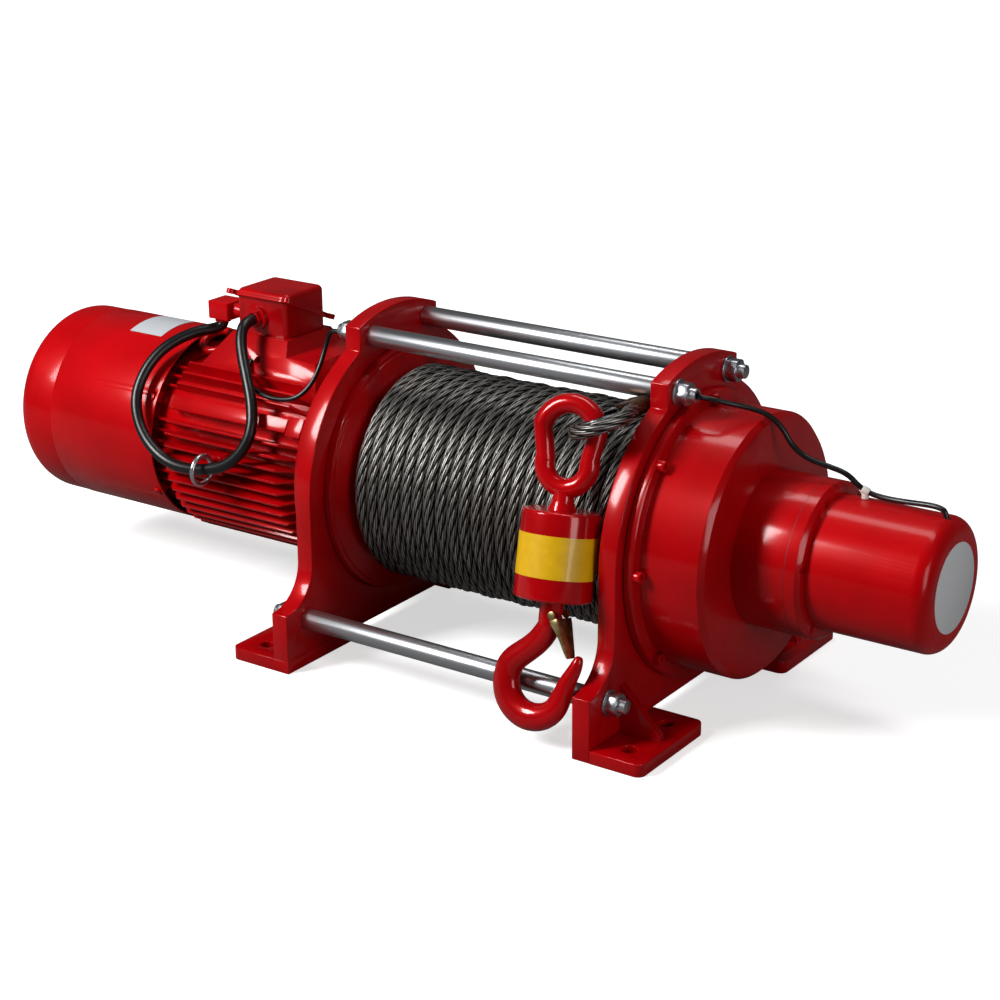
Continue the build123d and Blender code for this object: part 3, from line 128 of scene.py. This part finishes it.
def bump(tree, shader, height, depth, strength=1.0):
    """Fine relief from a pattern, its depth in metres."""
    node = add_node(tree, "ShaderNodeBump", {"Distance": depth, "Strength": strength}, {"Height": height})
    tree.links.new(node.outputs[0], shader.inputs["Normal"])


def red_enamel(name, colour, deep, coat, roughness, peel_mm, peel_depth):
    """Sprayed gloss enamel: a clear hard coat over a red that pools darker, with orange peel."""
    material, tree, shader, place = blank_material(name, colour, roughness)
    shader.inputs["Specular IOR Level"].default_value = 0.6
    shader.inputs["Specular Tint"].default_value = shade("#FF2A2A")
    shader.inputs["Coat Weight"].default_value = coat
    shader.inputs["Coat Roughness"].default_value = roughness * 0.35
    cloud = noise(tree, place, 14.0, 3.0)
    tree.links.new(blend_colours(tree, cloud, deep, colour, 0.32, 0.62), shader.inputs["Base Color"])
    peel = noise(tree, place, 1 / (peel_mm * MM), 2.0)
    bump(tree, shader, peel, peel_depth * MM)
    grime = noise(tree, place, 60.0, 5.0)
    tree.links.new(span(tree, grime, roughness * 0.8, roughness * 1.25), shader.inputs["Roughness"])
    return material


def bright_rod_steel():
    """Cold drawn, hard chromed rod: bright, with draw lines along it."""
    material, tree, shader, place = blank_material("hard_chromed_rod", "#C8CACE", 0.32, 1.0)
    lines = noise(tree, stretched(tree, place, (0.015, 1, 1)), 500.0, 3.0)
    tree.links.new(span(tree, lines, 0.27, 0.4), shader.inputs["Roughness"])
    bump(tree, shader, lines, 0.03 * MM, 0.5)
    return material


def zinc_plate():
    """Bright zinc plated steel: a bluish white metal with a cloudy passivated film."""
    material, tree, shader, place = blank_material("zinc_plated_steel", "#C3C7CC", 0.3, 1.0)
    film = noise(tree, place, 180.0, 4.0)
    tree.links.new(blend_colours(tree, film, "#A6ABB2", "#D0D4D8"), shader.inputs["Base Color"])
    tree.links.new(span(tree, film, 0.22, 0.42), shader.inputs["Roughness"])
    bump(tree, shader, film, 0.02 * MM, 0.6)
    return material


def yellow_chromate():
    """Pressed spring steel in yellow zinc chromate: a brassy iridescent film with scuffs."""
    material, tree, shader, place = blank_material("yellow_chromated_latch", "#C9B071", 0.34, 1.0)
    film = noise(tree, place, 90.0, 5.0)
    tree.links.new(blend_colours(tree, film, "#9A7F45", "#DCCB96", 0.3, 0.7), shader.inputs["Base Color"])
    tree.links.new(span(tree, film, 0.26, 0.45), shader.inputs["Roughness"])
    return material


def rope_steel():
    """Greased steel wire with painted shade: each strand goes dark in its grooves and between its wires, and the
    wires catch the light.

    The wires are drawn coarser than real ones, so that they show.
    """
    material, tree, shader, _ = blank_material("greased_rope_wire", "#8C8C8E", 0.36, 1.0)
    along = add_node(tree, "ShaderNodeUVMap", {"uv_map": "lay"}).outputs[0]
    strand = add_node(tree, "ShaderNodeUVMap", {"uv_map": "strand"}).outputs[0]
    bands = {"Scale": 1.0, "Distortion": 0.2, "Detail": 1.0, "bands_direction": "X"}
    wires = add_node(tree, "ShaderNodeTexWave", bands, {"Vector": along}).outputs[1]
    soil = noise(tree, along, 0.6, 4.0)
    darken = {"data_type": "RGBA", "blend_type": "MULTIPLY", 0: 1.0}
    tone = blend_colours(tree, soil, "#8E8B86", "#B8B6B2", 0.3, 0.7)
    # Painted shade: dark lines between the wires, multiplied into the tone.
    dark = add_node(tree, "ShaderNodeMix", darken, {6: tone})
    tree.links.new(blend_colours(tree, wires, "#555350", "#FFFFFF", 0.1, 0.75), dark.inputs[7])
    # Painted shade: each strand goes dark towards the grooves on either side of it.
    across = add_node(tree, "ShaderNodeSeparateXYZ", None, {0: strand}).outputs[0]
    crown = add_node(tree, "ShaderNodeMath", {"operation": "PINGPONG", 1: 0.5}, {0: across}).outputs[0]
    groove_shade = add_node(tree, "ShaderNodeMix", darken, {6: dark.outputs[2]})
    tree.links.new(blend_colours(tree, crown, "#161412", "#FFFFFF", 0.03, 0.26), groove_shade.inputs[7])
    tree.links.new(groove_shade.outputs[2], shader.inputs["Base Color"])
    tree.links.new(span(tree, wires, 0.62, 0.42), shader.inputs["Roughness"])
    bump(tree, shader, wires, 0.3 * MM)
    return material


def plain_polymer(name, colour, roughness):
    """Extruded rubber or moulded nylon: a soft sheen with faint drag marks from the die or the mould."""
    material, tree, shader, place = blank_material(name, colour, roughness)
    drag = noise(tree, place, 260.0, 3.0)
    tree.links.new(span(tree, drag, roughness * 0.8, roughness * 1.25), shader.inputs["Roughness"])
    bump(tree, shader, drag, 0.05 * MM, 0.6)
    return material


def brushed_foil(name, colour, roughness, along):
    """Label stock: silver print on film with fine brush lines, paler and duller than solid metal."""
    material, tree, shader, place = blank_material(name, colour, roughness, 0.15)
    lines = noise(tree, stretched(tree, place, along), 900.0, 2.0)
    tree.links.new(span(tree, lines, roughness * 0.7, roughness * 1.3), shader.inputs["Roughness"])
    bump(tree, shader, lines, 0.01 * MM, 0.4)
    return material


def yellow_vinyl():
    """A self-adhesive vinyl band in traffic yellow, a little scuffed."""
    material, tree, shader, place = blank_material("yellow_vinyl_band", "#E9B500", 0.4)
    shader.inputs["Coat Weight"].default_value = 0.3
    scuffs = noise(tree, place, 120.0, 6.0)
    tree.links.new(blend_colours(tree, scuffs, "#E2AC00", "#ECB900", 0.25, 0.7), shader.inputs["Base Color"])
    return material


def dull_metal(name, low, high, roughness, grain_mm):
    """Plain machined, cast or wound metal inside the machine, with a visible grain."""
    material, tree, shader, place = blank_material(name, high, roughness, 0.9)
    grain = noise(tree, place, 1 / (grain_mm * MM), 4.0)
    tree.links.new(blend_colours(tree, grain, low, high, 0.3, 0.7), shader.inputs["Base Color"])
    tree.links.new(span(tree, grain, roughness * 0.8, roughness * 1.2), shader.inputs["Roughness"])
    bump(tree, shader, grain, 0.05 * MM, 0.5)
    return material


plate_red = red_enamel("gloss_red_on_plate", "#B20007", "#9C0005", 0.5, 0.4, 2.2, 0.03)
cast_red = red_enamel("gloss_red_on_casting", "#B20007", "#960005", 0.5, 0.4, 1.4, 0.09)
sheet_red = red_enamel("gloss_red_on_sheet", "#BC0008", "#AE0006", 0.35, 0.46, 2.6, 0.02)
turned_red = red_enamel("gloss_red_on_turning", "#B20007", "#A20005", 0.5, 0.4, 2.4, 0.02)
forged_red = red_enamel("gloss_red_on_forging", "#B60008", "#9E0005", 0.7, 0.32, 3.0, 0.12)
rod_steel = bright_rod_steel()
zinc = zinc_plate()
latch_finish = yellow_chromate()
rope_finish = rope_steel()
cable_rubber = plain_polymer("neoprene_cable_jacket", "#0A0A0B", 0.34)
wire_rubber = plain_polymer("pvc_wire_jacket", "#09090A", 0.3)
black_nylon = plain_polymer("black_nylon_moulding", "#141416", 0.5)
clear_nylon = plain_polymer("natural_nylon_clip", "#D9D6CC", 0.4)
label_foil = brushed_foil("silver_label_film", "#CFD3D8", 0.4, (0.03, 1, 1))
cap_foil = brushed_foil("round_label_film", "#E2E3E5", 0.38, (1, 0.03, 1))
band_vinyl = yellow_vinyl()
ferrule_steel = dull_metal("swaged_ferrule", "#2C1C14", "#6B4A36", 0.42, 3.0)
gear_steel = dull_metal("ground_gear_steel", "#8C8E92", "#B6B8BC", 0.3, 1.0)
core_iron = dull_metal("laminated_core", "#3A3A3C", "#6C6C70", 0.5, 0.8)
copper_turns = dull_metal("varnished_copper_turns", "#5A2412", "#A8552C", 0.4, 1.2)
grey_moulding = plain_polymer("grey_polyamide_moulding", "#6A6C70", 0.5)


# Dressing the parts
def select_only(thing):
    bpy.ops.object.select_all(action="DESELECT")
    thing.select_set(True)
    bpy.context.view_layer.objects.active = thing


def settle(thing, name, body, material, node=None, angle=35):
    """Name, finish and seat a finished piece: its place goes into its mesh and it rides on its body."""
    select_only(thing)
    bpy.ops.object.transform_apply(location=True, rotation=True, scale=True)
    if angle:
        bpy.ops.object.shade_smooth_by_angle(angle=radians(angle))
    thing.name = name
    thing.data.materials.clear()
    thing.data.materials.append(material)
    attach(thing, body)
    if node:
        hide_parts(node)
    return thing


def round_edges(thing, width, segments=2):
    """Break a piece's sharp edges with a small applied bevel."""
    select_only(thing)
    edge = thing.modifiers.new("soft_edge", "BEVEL")
    edge.width = width * MM
    edge.segments = segments
    edge.limit_method = "ANGLE"
    edge.angle_limit = radians(CREASE)
    edge.use_clamp_overlap = True
    bpy.ops.object.modifier_apply(modifier=edge.name)


def dress(node, body, material, edge, segments):
    """A cleaned copy of a node with its arrises broken, in place of the plain one."""
    source = frame["nodes"][node]
    copy = source.copy()
    copy.data = source.data.copy()
    copy.parent = None
    for key in list(copy.keys()):
        del copy[key]
    bpy.context.scene.collection.objects.link(copy)
    select_only(copy)
    bpy.ops.object.mode_set(mode="EDIT")
    bpy.ops.mesh.select_all(action="SELECT")
    bpy.ops.mesh.remove_doubles(threshold=0.004 * MM)
    bpy.ops.mesh.dissolve_limited(angle_limit=radians(0.6))
    bpy.ops.object.mode_set(mode="OBJECT")
    if edge:
        round_edges(copy, edge, segments)
    return settle(copy, node + "_finished", body, material, node, CREASE)


body_of = {node: body for body, nodes in frame["record"]["behaviour"]["bodies"].items() for node in nodes}


def dress_all(table):
    """Dress each node with its finish, its edge in millimetres and that edge's steps."""
    for node, material, edge, segments in table:
        dress(node, body_of[node], material, edge, segments)


# Ropes and cables
STRANDS = 6
# Faces across one strand
STEPS = 6
# A groove's depth as a share of the rope's radius
GROOVE = 0.22
# Length in which a strand goes once round the rope
ROPE_LAY = 116


def rope_surface(name, points, radius, lay):
    """A laid rope along a line of points in metres: its strands wind round it.

    The map called strand has one unit across each strand. The map called lay slants the wires over it.
    """
    profile = []
    for k in range(STRANDS * STEPS):
        place = (k % STEPS) / STEPS * 2 - 1
        profile.append(radius * (1 - GROOVE + GROOVE * sqrt(max(0.0, 1 - place * place))))
    count = len(profile)
    wire_width, slant, mapped = 0.94, 0.03, 10
    bm = bmesh.new()
    lay_map = bm.loops.layers.uv.new("lay")
    strand_map = bm.loops.layers.uv.new("strand")
    rings = []
    travelled = 0.0
    normal = None
    travel = []
    for i, point in enumerate(points):
        ahead = points[min(i + 1, len(points) - 1)] - points[max(i - 1, 0)]
        ahead.normalize()
        if normal is None:
            normal = ahead.orthogonal().normalized()
        normal = (normal - ahead * normal.dot(ahead)).normalized()
        side = ahead.cross(normal)
        if i:
            travelled += (point - points[i - 1]).length
        twist = 2 * pi * travelled / lay
        ring = []
        for k, reach in enumerate(profile):
            angle = twist + 2 * pi * k / count
            ring.append(bm.verts.new(point + (normal * cos(angle) + side * sin(angle)) * reach))
        rings.append(ring)
        travel.append(travelled)
    for i in range(len(rings) - 1):
        for k in range(count):
            n = (k + 1) % count
            face = bm.faces.new((rings[i][k], rings[i][n], rings[i + 1][n], rings[i + 1][k]))
            face.smooth = True
            across = [k, k + 1, k + 1, k]
            along = [travel[i], travel[i], travel[i + 1], travel[i + 1]]
            for loop, a, s in zip(face.loops, across, along):
                loop[lay_map].uv = (a / STEPS * wire_width + s / MM * slant, s / MM / mapped)
                loop[strand_map].uv = (a / STEPS, s / MM / mapped)
    bm.faces.new(list(reversed(rings[0])))
    bm.faces.new(rings[-1])
    mesh = bpy.data.meshes.new(name)
    bm.to_mesh(mesh)
    bm.free()
    thing = bpy.data.objects.new(name, mesh)
    bpy.context.scene.collection.objects.link(thing)
    return thing


def spline_object(name, points, radius=0.0):
    """One open NURBS curve through its route, round where a radius is given."""
    data = bpy.data.curves.new(name, "CURVE")
    data.dimensions = "3D"
    data.resolution_u = 12
    data.use_fill_caps = True
    data.bevel_depth = radius * MM
    data.bevel_resolution = 6
    line = data.splines.new("NURBS")
    line.points.add(len(points) - 1)
    for place, point in zip(line.points, points):
        place.co = (*[c * MM for c in point], 1)
    line.order_u = 3
    line.use_endpoint_u = True
    line.use_smooth = True
    thing = bpy.data.objects.new(name, data)
    bpy.context.scene.collection.objects.link(thing)
    return thing


def spline_points(points):
    """The smooth line of a route, read from its spline."""
    guide = spline_object("guide", points)
    mesh = bpy.data.meshes.new_from_object(guide.evaluated_get(bpy.context.evaluated_depsgraph_get()))
    line = [v.co.copy() for v in mesh.vertices]
    bpy.data.meshes.remove(mesh)
    bpy.data.objects.remove(guide)
    return line


def winding():
    """The outer layer of rope on the drum: a little uneven, and tight at the gearbox end under the rope's end."""
    pitch, turns, centre, start = 16.4, 20, 121.6, -164.0
    tight_from, fade = 18, 3
    points = []
    steps = 116
    for i in range(steps * (turns + 1) + 1):
        turn = i / steps
        x = start + pitch * min(max(turn - 0.5, 0), turns)
        slack = (0.8 * sin(turn * 2.3) + 0.5 * sin(turn * 5.9)) * min(1, max(0, (tight_from - turn) / fade))
        angle = 2 * pi * turn
        reach = centre + slack
        points.append(Vector((x, reach * cos(angle), AXIS_HEIGHT + reach * sin(angle))) * MM)
    thing = rope_surface("wound_rope", points, 8.15 * MM, ROPE_LAY * MM)
    return settle(thing, "wound_rope", "winding_drum", rope_finish, "rope_winding", None)


ROPE_RADIUS = 8.0
# The centres of the block's eye, of the rope's eye and of the ferrule
EYE_CENTRE = Vector((139.5, -147.0, 318.0))
ROPE_EYE = Vector((171.2, -131.8, 348.5))
FERRULE = Vector((176.0, -80.0, 352.0))


def rope_end():
    """The rope's end: its eye round the thimble and its run over the winding.

    It lies 1.4 mm further out than its solid, so that the winding clears it as it turns.
    """
    thimble_radius, thimble_wall, play = 18.6, 2.5, 0.1
    to_ferrule = (FERRULE - ROPE_EYE).normalized()
    side = Vector((0.93, 0, 0.36))
    side = (side - to_ferrule * side.dot(to_ferrule)).normalized()
    distance = (FERRULE - ROPE_EYE).length
    radius, offset, face = thimble_radius + thimble_wall + ROPE_RADIUS + play, 8.1, distance - 17.0
    tangent = atan2(offset, face) + acos(radius / hypot(face, offset))
    step = (pi - tangent) / 4
    route = [(face + 32, offset), (face, offset)]
    for i in range(4):
        angle = tangent + step + 2 * step * i
        route.append((radius / cos(step) * cos(angle), radius / cos(step) * sin(angle)))
    route += [(face, -offset), (face + 34, -offset)]
    points = [ROPE_EYE + to_ferrule * x + side * y for x, y in route]
    x, y, z = 168.0, -52.0, 349.3 - AXIS_HEIGHT
    points.append(Vector((x, y, z + AXIS_HEIGHT)))
    reach = 138.7
    touch = atan2(z, y) - acos(reach / hypot(y, z))
    end = radians(-100)
    turns = 6
    half = (touch - end) / turns / 2
    corner = reach / cos(half)
    for i in range(turns):
        angle = touch - half * (2 * i + 1)
        points.append(Vector((x, corner * cos(angle), AXIS_HEIGHT + corner * sin(angle))))
    points.append(Vector((x, reach * cos(end), AXIS_HEIGHT + reach * sin(end))))
    line = spline_points([tuple(p) for p in points])
    thing = rope_surface("rope_end", line, ROPE_RADIUS * MM, ROPE_LAY * MM)
    return settle(thing, "rope_end", "winch", rope_finish, "rope_tail", None)


LEAD_ROUTE = [(-387, -37, 361), (-387, -61, 361), (-383, -75, 346), (-371, -87, 326), (-351, -102, 301),
              (-334, -115, 276), (-325, -128, 250), (-332, -138, 226), (-352, -146, 206), (-382, -149, 196),
              (-414, -149, 191), (-446, -148, 193), (-474, -145, 205), (-497, -140, 225), (-512, -131, 250),
              (-517, -119, 272), (-515, -101, 295), (-507, -82, 313), (-494, -61, 325), (-480, -40, 331),
              (-468, -23, 332), (-462, -16, 337), (-462, -16, 346.5)]
WIRE_ROUTE = [(-379, -61.4, 314), (-377, -75, 306), (-361, -90, 294), (-336, -97, 286), (-308, -98, 284),
              (-282, -95, 289), (-269, -84, 303), (-265, -70, 323), (-264, -59, 345), (-261, -54, 364),
              (-251, -54.4, 370.4), (251, -53.6, 370.6), (268, -42, 365), (286, -26, 359), (306, -14, 352),
              (322, -9, 338), (333, -6, 318), (350, -3, 306), (374, 0, 301), (395, 3, 296), (408, 6, 283),
              (421, 9, 276), (440, 9, 274.5), (460, 8, 275.5), (480, 5, 278), (499, 3, 279.5), (511, 2, 276),
              (511, 2, 260)]


def line_length(points):
    """A route's length in metres, along its smooth line."""
    line = spline_points(points)
    return sum((b - a).length for a, b in zip(line, line[1:]))


def cables():
    """The motor's cable and the switch's wire, each one spline with both ends on the winch."""
    lead = spline_object("motor_lead", LEAD_ROUTE, 7.0)
    lead.data.materials.append(cable_rubber)
    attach(lead, "winch")
    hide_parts("motor_cable")
    line_length(LEAD_ROUTE)
    wire = spline_object("switch_wire", WIRE_ROUTE, 3.0)
    wire.data.materials.append(wire_rubber)
    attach(wire, "winch")
    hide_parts("sensor_wire")
    line_length(WIRE_ROUTE)


# Labels
def wrapped_label():
    """The bare silver label on the cowl, bent to its round and set a little askew."""
    bpy.ops.mesh.primitive_grid_add(x_subdivisions=8, y_subdivisions=16, size=1)
    label = bpy.context.active_object
    radius = 124.25
    left, length, front, height, askew = -602, 54, -40, 70, 3
    for vertex in label.data.vertices:
        u, v = vertex.co.x + 0.5, vertex.co.y + 0.5
        y = front + height * v
        x = left + length * u - askew * v
        angle = asin(y / radius)
        vertex.co = Vector((x, radius * sin(angle), AXIS_HEIGHT + radius * cos(angle))) * MM
    film = label.modifiers.new("film", "SOLIDIFY")
    film.thickness = 0.3 * MM
    film.offset = 1
    select_only(label)
    bpy.ops.object.modifier_apply(modifier=film.name)
    settle(label, "cowl_label", "winch", label_foil)


def cap_label():
    """The bare round label on the end cap."""
    bpy.ops.mesh.primitive_cylinder_add(vertices=96, radius=49.5 * MM, depth=0.5 * MM, rotation=(0, pi / 2, 0),
                                        location=(525.2 * MM, 0, AXIS_HEIGHT * MM))
    label = bpy.context.active_object
    round_edges(label, 0.15)
    settle(label, "end_cap_label", "winch", cap_foil)


def small_head(name, place, aim, radius, height, sides, finish, body="winch"):
    """A screw head or pin end: a short prism set along a direction, its edges broken."""
    bpy.ops.mesh.primitive_cylinder_add(vertices=sides, radius=radius * MM, depth=height * MM)
    head = bpy.context.active_object
    round_edges(head, min(radius, height) * 0.22)
    turn = Vector(aim).to_track_quat("Z", "Y").to_matrix().to_4x4()
    head.matrix_world = Matrix.Translation(Vector(place) * MM) @ turn
    return settle(head, name, body, finish)


def cowl_screws():
    """The four screws that hold the cowl to the rear shield, under the same paint, each with a black disc of
    painted shade for its socket.
    """
    screw_x, seat_radius, spread = -505, 125.2, 30
    for side in (-1, 1):
        for lift in (-1, 1):
            angle = radians(spread * lift)
            out = Vector((0, side * cos(angle), sin(angle)))
            place = Vector((screw_x, 0, AXIS_HEIGHT)) + out * seat_radius
            label = f"cowl_screw_{'front' if side < 0 else 'rear'}_{'low' if lift < 0 else 'high'}"
            small_head(label, place, out, 4.6, 3.4, 32, sheet_red)
            # Painted shade: a flat black hexagon on the head stands for the shade inside its socket.
            small_head(label + "_socket", place + out * 1.75, out, 2.2, 0.4, 6, black_nylon)


def wire_clip():
    """The nylon clip that holds the switch wire on the cover, with its foot."""
    small_head("wire_clip", (415, 7.6, 279.2), (13, 3, -6.5), 4.5, 8.5, 24, clear_nylon)
    small_head("wire_clip_foot", (415, 7.6, 273), (0, 0.1, 1), 4.0, 6.0, 20, clear_nylon)


def cover_seam():
    """The dark joint line round the cover, where it meets the first stage's flange."""
    bpy.ops.mesh.primitive_cylinder_add(vertices=128, radius=88.06 * MM, depth=0.5 * MM, end_fill_type="NOTHING",
                                        rotation=(0, pi / 2, 0), location=(370 * MM, 0, AXIS_HEIGHT * MM))
    seam = bpy.context.active_object
    film = seam.modifiers.new("film", "SOLIDIFY")
    film.thickness = 0.5 * MM
    select_only(seam)
    bpy.ops.object.modifier_apply(modifier=film.name)
    settle(seam, "cover_seam", "winch", black_nylon)


# How far below the block's eye the weight's and the hook's own frames lie
WEIGHT_DROP = 66
HOOK_DROP = 162


def block_frame(distance):
    """The hanging block's own frame at rest, at a distance below its eye."""
    lean, side = radians(15.5), radians(3.0)
    up = Vector((-tan(side), tan(lean), 1)).normalized()
    heading = Vector((1, 0, 0))
    right = (heading - up * heading.dot(up)).normalized()
    turn = Matrix((right, up.cross(right), up)).transposed().to_4x4()
    return Matrix.Translation((EYE_CENTRE - up * distance) * MM) @ turn


def weight_band():
    """The bare yellow band round the middle of the weight."""
    bpy.ops.mesh.primitive_cylinder_add(vertices=96, radius=43.25 * MM, depth=46 * MM, end_fill_type="NOTHING",
                                        location=(0, 0, -48 * MM))
    band = bpy.context.active_object
    select_only(band)
    bpy.ops.object.transform_apply(location=True)
    film = band.modifiers.new("film", "SOLIDIFY")
    film.thickness = 0.4 * MM
    film.offset = 0
    bpy.ops.object.modifier_apply(modifier=film.name)
    band.matrix_world = block_frame(WEIGHT_DROP)
    settle(band, "weight_band", "hook_block", band_vinyl)


def folded_latch():
    """The latch as a folded channel: a plate that narrows to the tip, its two cheeks and the rivet's two ends."""
    root, tip = Vector((17.0, 0, -18.6)), Vector((31.5, 0, -60.0))
    down = (tip - root).normalized()
    inward = Vector((0, 1, 0)).cross(down).normalized()
    if inward.x > 0:
        inward = -inward
    wall = 1.5
    bm = bmesh.new()
    sections = []
    # Share of the way from root to tip, half the plate's width, height of its cheeks
    shape = ((0, 14.9, 9.5), (0.12, 14.9, 9.0), (0.3, 13.5, 6.0), (0.55, 11.5, 4.0), (0.8, 9.5, 3.0),
             (0.96, 8.0, 2.0), (1.0, 6.5, 1.7))
    for along, half, depth in shape:
        middle = root + (tip - root) * along
        outline = ((-half, 0), (half, 0), (half, depth), (half - wall, depth),
                   (half - wall, wall), (wall - half, wall), (wall - half, depth), (-half, depth))
        sections.append([bm.verts.new(middle + Vector((0, y, 0)) + inward * n) for y, n in outline])
    for near, far in zip(sections, sections[1:]):
        for k in range(len(near)):
            n = (k + 1) % len(near)
            bm.faces.new((near[k], near[n], far[n], far[k]))
    bm.faces.new(list(reversed(sections[0])))
    bm.faces.new(sections[-1])
    bmesh.ops.recalc_face_normals(bm, faces=bm.faces)
    mesh = bpy.data.meshes.new("latch_channel")
    bm.to_mesh(mesh)
    bm.free()
    thing = bpy.data.objects.new("latch_channel", mesh)
    bpy.context.scene.collection.objects.link(thing)
    select_only(thing)
    thing.scale = (MM, MM, MM)
    bpy.ops.object.transform_apply(scale=True)
    round_edges(thing, 0.35)
    thing.matrix_world = block_frame(HOOK_DROP)
    settle(thing, "latch_finished", "hook_latch", latch_finish, "latch")
    frame_at = block_frame(HOOK_DROP)
    across = frame_at.to_3x3() @ Vector((0, 1, 0))
    for side in (-1, 1):
        place = frame_at @ (Vector((10, side * 15.0, -16)) * MM)
        label = "latch_rivet_front" if side < 0 else "latch_rivet_rear"
        small_head(label, place / MM, across * side, 4.6, 2.2, 24, latch_finish, "hook_latch")


# The floor, the light and the world
# How strongly the floor glows to the camera under the winch, where white is 1
FLOOR_GLOW = 0.62
# Name, place and aim in metres, size in metres, power in watts
SOFT_BOXES = (("key_softbox", (-1.45, -2.1, 2.0), (0, 0, 0.2), (0.8, 1.2), 100),
              ("fill_softbox", (2.9, -1.0, 0.9), (0.2, 0, 0.2), (1.0, 1.4), 23),
              ("top_softbox", (0.1, 0.5, 2.6), (0, 0, 0.2), (2.2, 0.5), 20))


def studio():
    """A plain pale floor that reads white to the camera and keeps the shadow, with soft boxes over it.

    To every other ray the floor is a grey table and the world is dark, so no light from them washes the red out.
    """
    bpy.ops.mesh.primitive_plane_add(size=60)
    floor = bpy.context.active_object
    floor.name = "floor"
    material = bpy.data.materials.new("white_paper_sweep")
    material.use_nodes = True
    tree = material.node_tree
    tree.nodes.clear()
    place = add_node(tree, "ShaderNodeTexCoord").outputs["Object"]
    reach = add_node(tree, "ShaderNodeVectorMath", {"operation": "LENGTH"}, {0: place}).outputs["Value"]
    near, away = 0.7, 1.7
    fade = {"From Min": near, "From Max": away, "To Min": FLOOR_GLOW, "To Max": 1.0}
    far = add_node(tree, "ShaderNodeMapRange", fade, {0: reach}).outputs[0]
    lit = add_node(tree, "ShaderNodeBsdfDiffuse", {"Color": shade("#E8E8E8")})
    glow = add_node(tree, "ShaderNodeEmission", {"Color": shade("#FFFFFF")}, {"Strength": far})
    seen = add_node(tree, "ShaderNodeAddShader", None, {0: lit.outputs[0], 1: glow.outputs[0]})
    table = add_node(tree, "ShaderNodeBsdfDiffuse", {"Color": shade("#787878")})
    path = add_node(tree, "ShaderNodeLightPath")
    mix = add_node(tree, "ShaderNodeMixShader", None,
                   {0: path.outputs["Is Camera Ray"], 1: table.outputs[0], 2: seen.outputs[0]})
    add_node(tree, "ShaderNodeOutputMaterial", None, {0: mix.outputs[0]})
    floor.data.materials.append(material)
    world = bpy.data.worlds.new("studio_world")
    bpy.context.scene.world = world
    world.use_nodes = True
    tree = world.node_tree
    tree.nodes.clear()
    path = add_node(tree, "ShaderNodeLightPath")
    strength = add_node(tree, "ShaderNodeMapRange", {"To Min": 0.05, "To Max": 1.0},
                        {0: path.outputs["Is Camera Ray"]})
    sky = add_node(tree, "ShaderNodeBackground", {"Color": shade("#FFFFFF")}, {"Strength": strength.outputs[0]})
    add_node(tree, "ShaderNodeOutputWorld", None, {0: sky.outputs[0]})
    for name, place, target, size, power in SOFT_BOXES:
        light = bpy.data.lights.new(name, "AREA")
        light.shape = "RECTANGLE"
        light.size, light.size_y = size
        light.energy = power
        lamp = bpy.data.objects.new(name, light)
        bpy.context.scene.collection.objects.link(lamp)
        aim = Vector(target) - Vector(place)
        lamp.matrix_world = Matrix.Translation(place) @ aim.to_track_quat("-Z", "Y").to_matrix().to_4x4()
    bpy.context.scene.view_settings.view_transform = "Standard"


def finish_insides(table):
    """The plain nodes inside the winch get their own metal or moulding."""
    for node, finish in table:
        carried = frame["nodes"][node]
        carried.data.materials.clear()
        carried.data.materials.append(finish)


photo_camera()
cables()
winding()
rope_end()
dress_all([
    ("left_plate", plate_red, 1.2, 3), ("right_plate", plate_red, 1.2, 3), ("left_feet", plate_red, 1.0, 2),
    ("right_feet", plate_red, 1.0, 2), ("sensor_rod", rod_steel, 0.8, 2), ("tie_rods", rod_steel, 0.8, 2),
    ("rod_nuts", zinc, 0.5, 2), ("drum", turned_red, 0.6, 2), ("motor_frame", cast_red, 0.8, 2),
    ("drive_end_shield", cast_red, 0.8, 2), ("rear_end_shield", cast_red, 0.6, 2), ("fan_cowl", sheet_red, 0.4, 2),
    ("cowl_cap", sheet_red, 0.4, 2), ("terminal_box", cast_red, 1.0, 3), ("terminal_lid", cast_red, 1.2, 3),
    ("cable_gland", cast_red, 0.4, 2), ("junction_box", sheet_red, 0.8, 3), ("lifting_eye", cast_red, 0, 2),
    ("cable_eye", zinc, 0, 2), ("gear_housing", turned_red, 1.2, 3), ("cover_housing", turned_red, 1.0, 3),
    ("end_cap", sheet_red, 0, 2), ("housing_screws", turned_red, 0.4, 2),
    ("cover_screws", turned_red, 0.3, 2),
    ("thimble", zinc, 0.4, 2), ("ferrule", ferrule_steel, 1.0, 3), ("block_eye", forged_red, 0, 2),
    ("block_weight", forged_red, 1.0, 3), ("hook", forged_red, 0.6, 2)])
folded_latch()
wrapped_label()
cap_label()
cowl_screws()
wire_clip()
cover_seam()
weight_band()
finish_insides((
    ("motor_shaft", gear_steel), ("drive_shaft", gear_steel), ("first_carrier", gear_steel),
    ("second_carrier", gear_steel), ("first_ring_gear", gear_steel), ("second_ring_gear", gear_steel),
    ("brake_disc", core_iron), ("brake_armature", gear_steel), ("brake_coil", core_iron),
    ("motor_bearings", gear_steel), ("drum_bearing", gear_steel), ("output_bearing", gear_steel),
    ("input_bearing", gear_steel), ("rotor_core", core_iron), ("stator_core", core_iron),
    ("stator_windings", copper_turns), ("cooling_fan", black_nylon), ("terminal_block", grey_moulding),
    ("limit_switch", grey_moulding), ("first_planet_1", gear_steel), ("first_planet_2", gear_steel),
    ("first_planet_3", gear_steel), ("second_planet_1", gear_steel), ("second_planet_2", gear_steel),
    ("second_planet_3", gear_steel)))
studio()
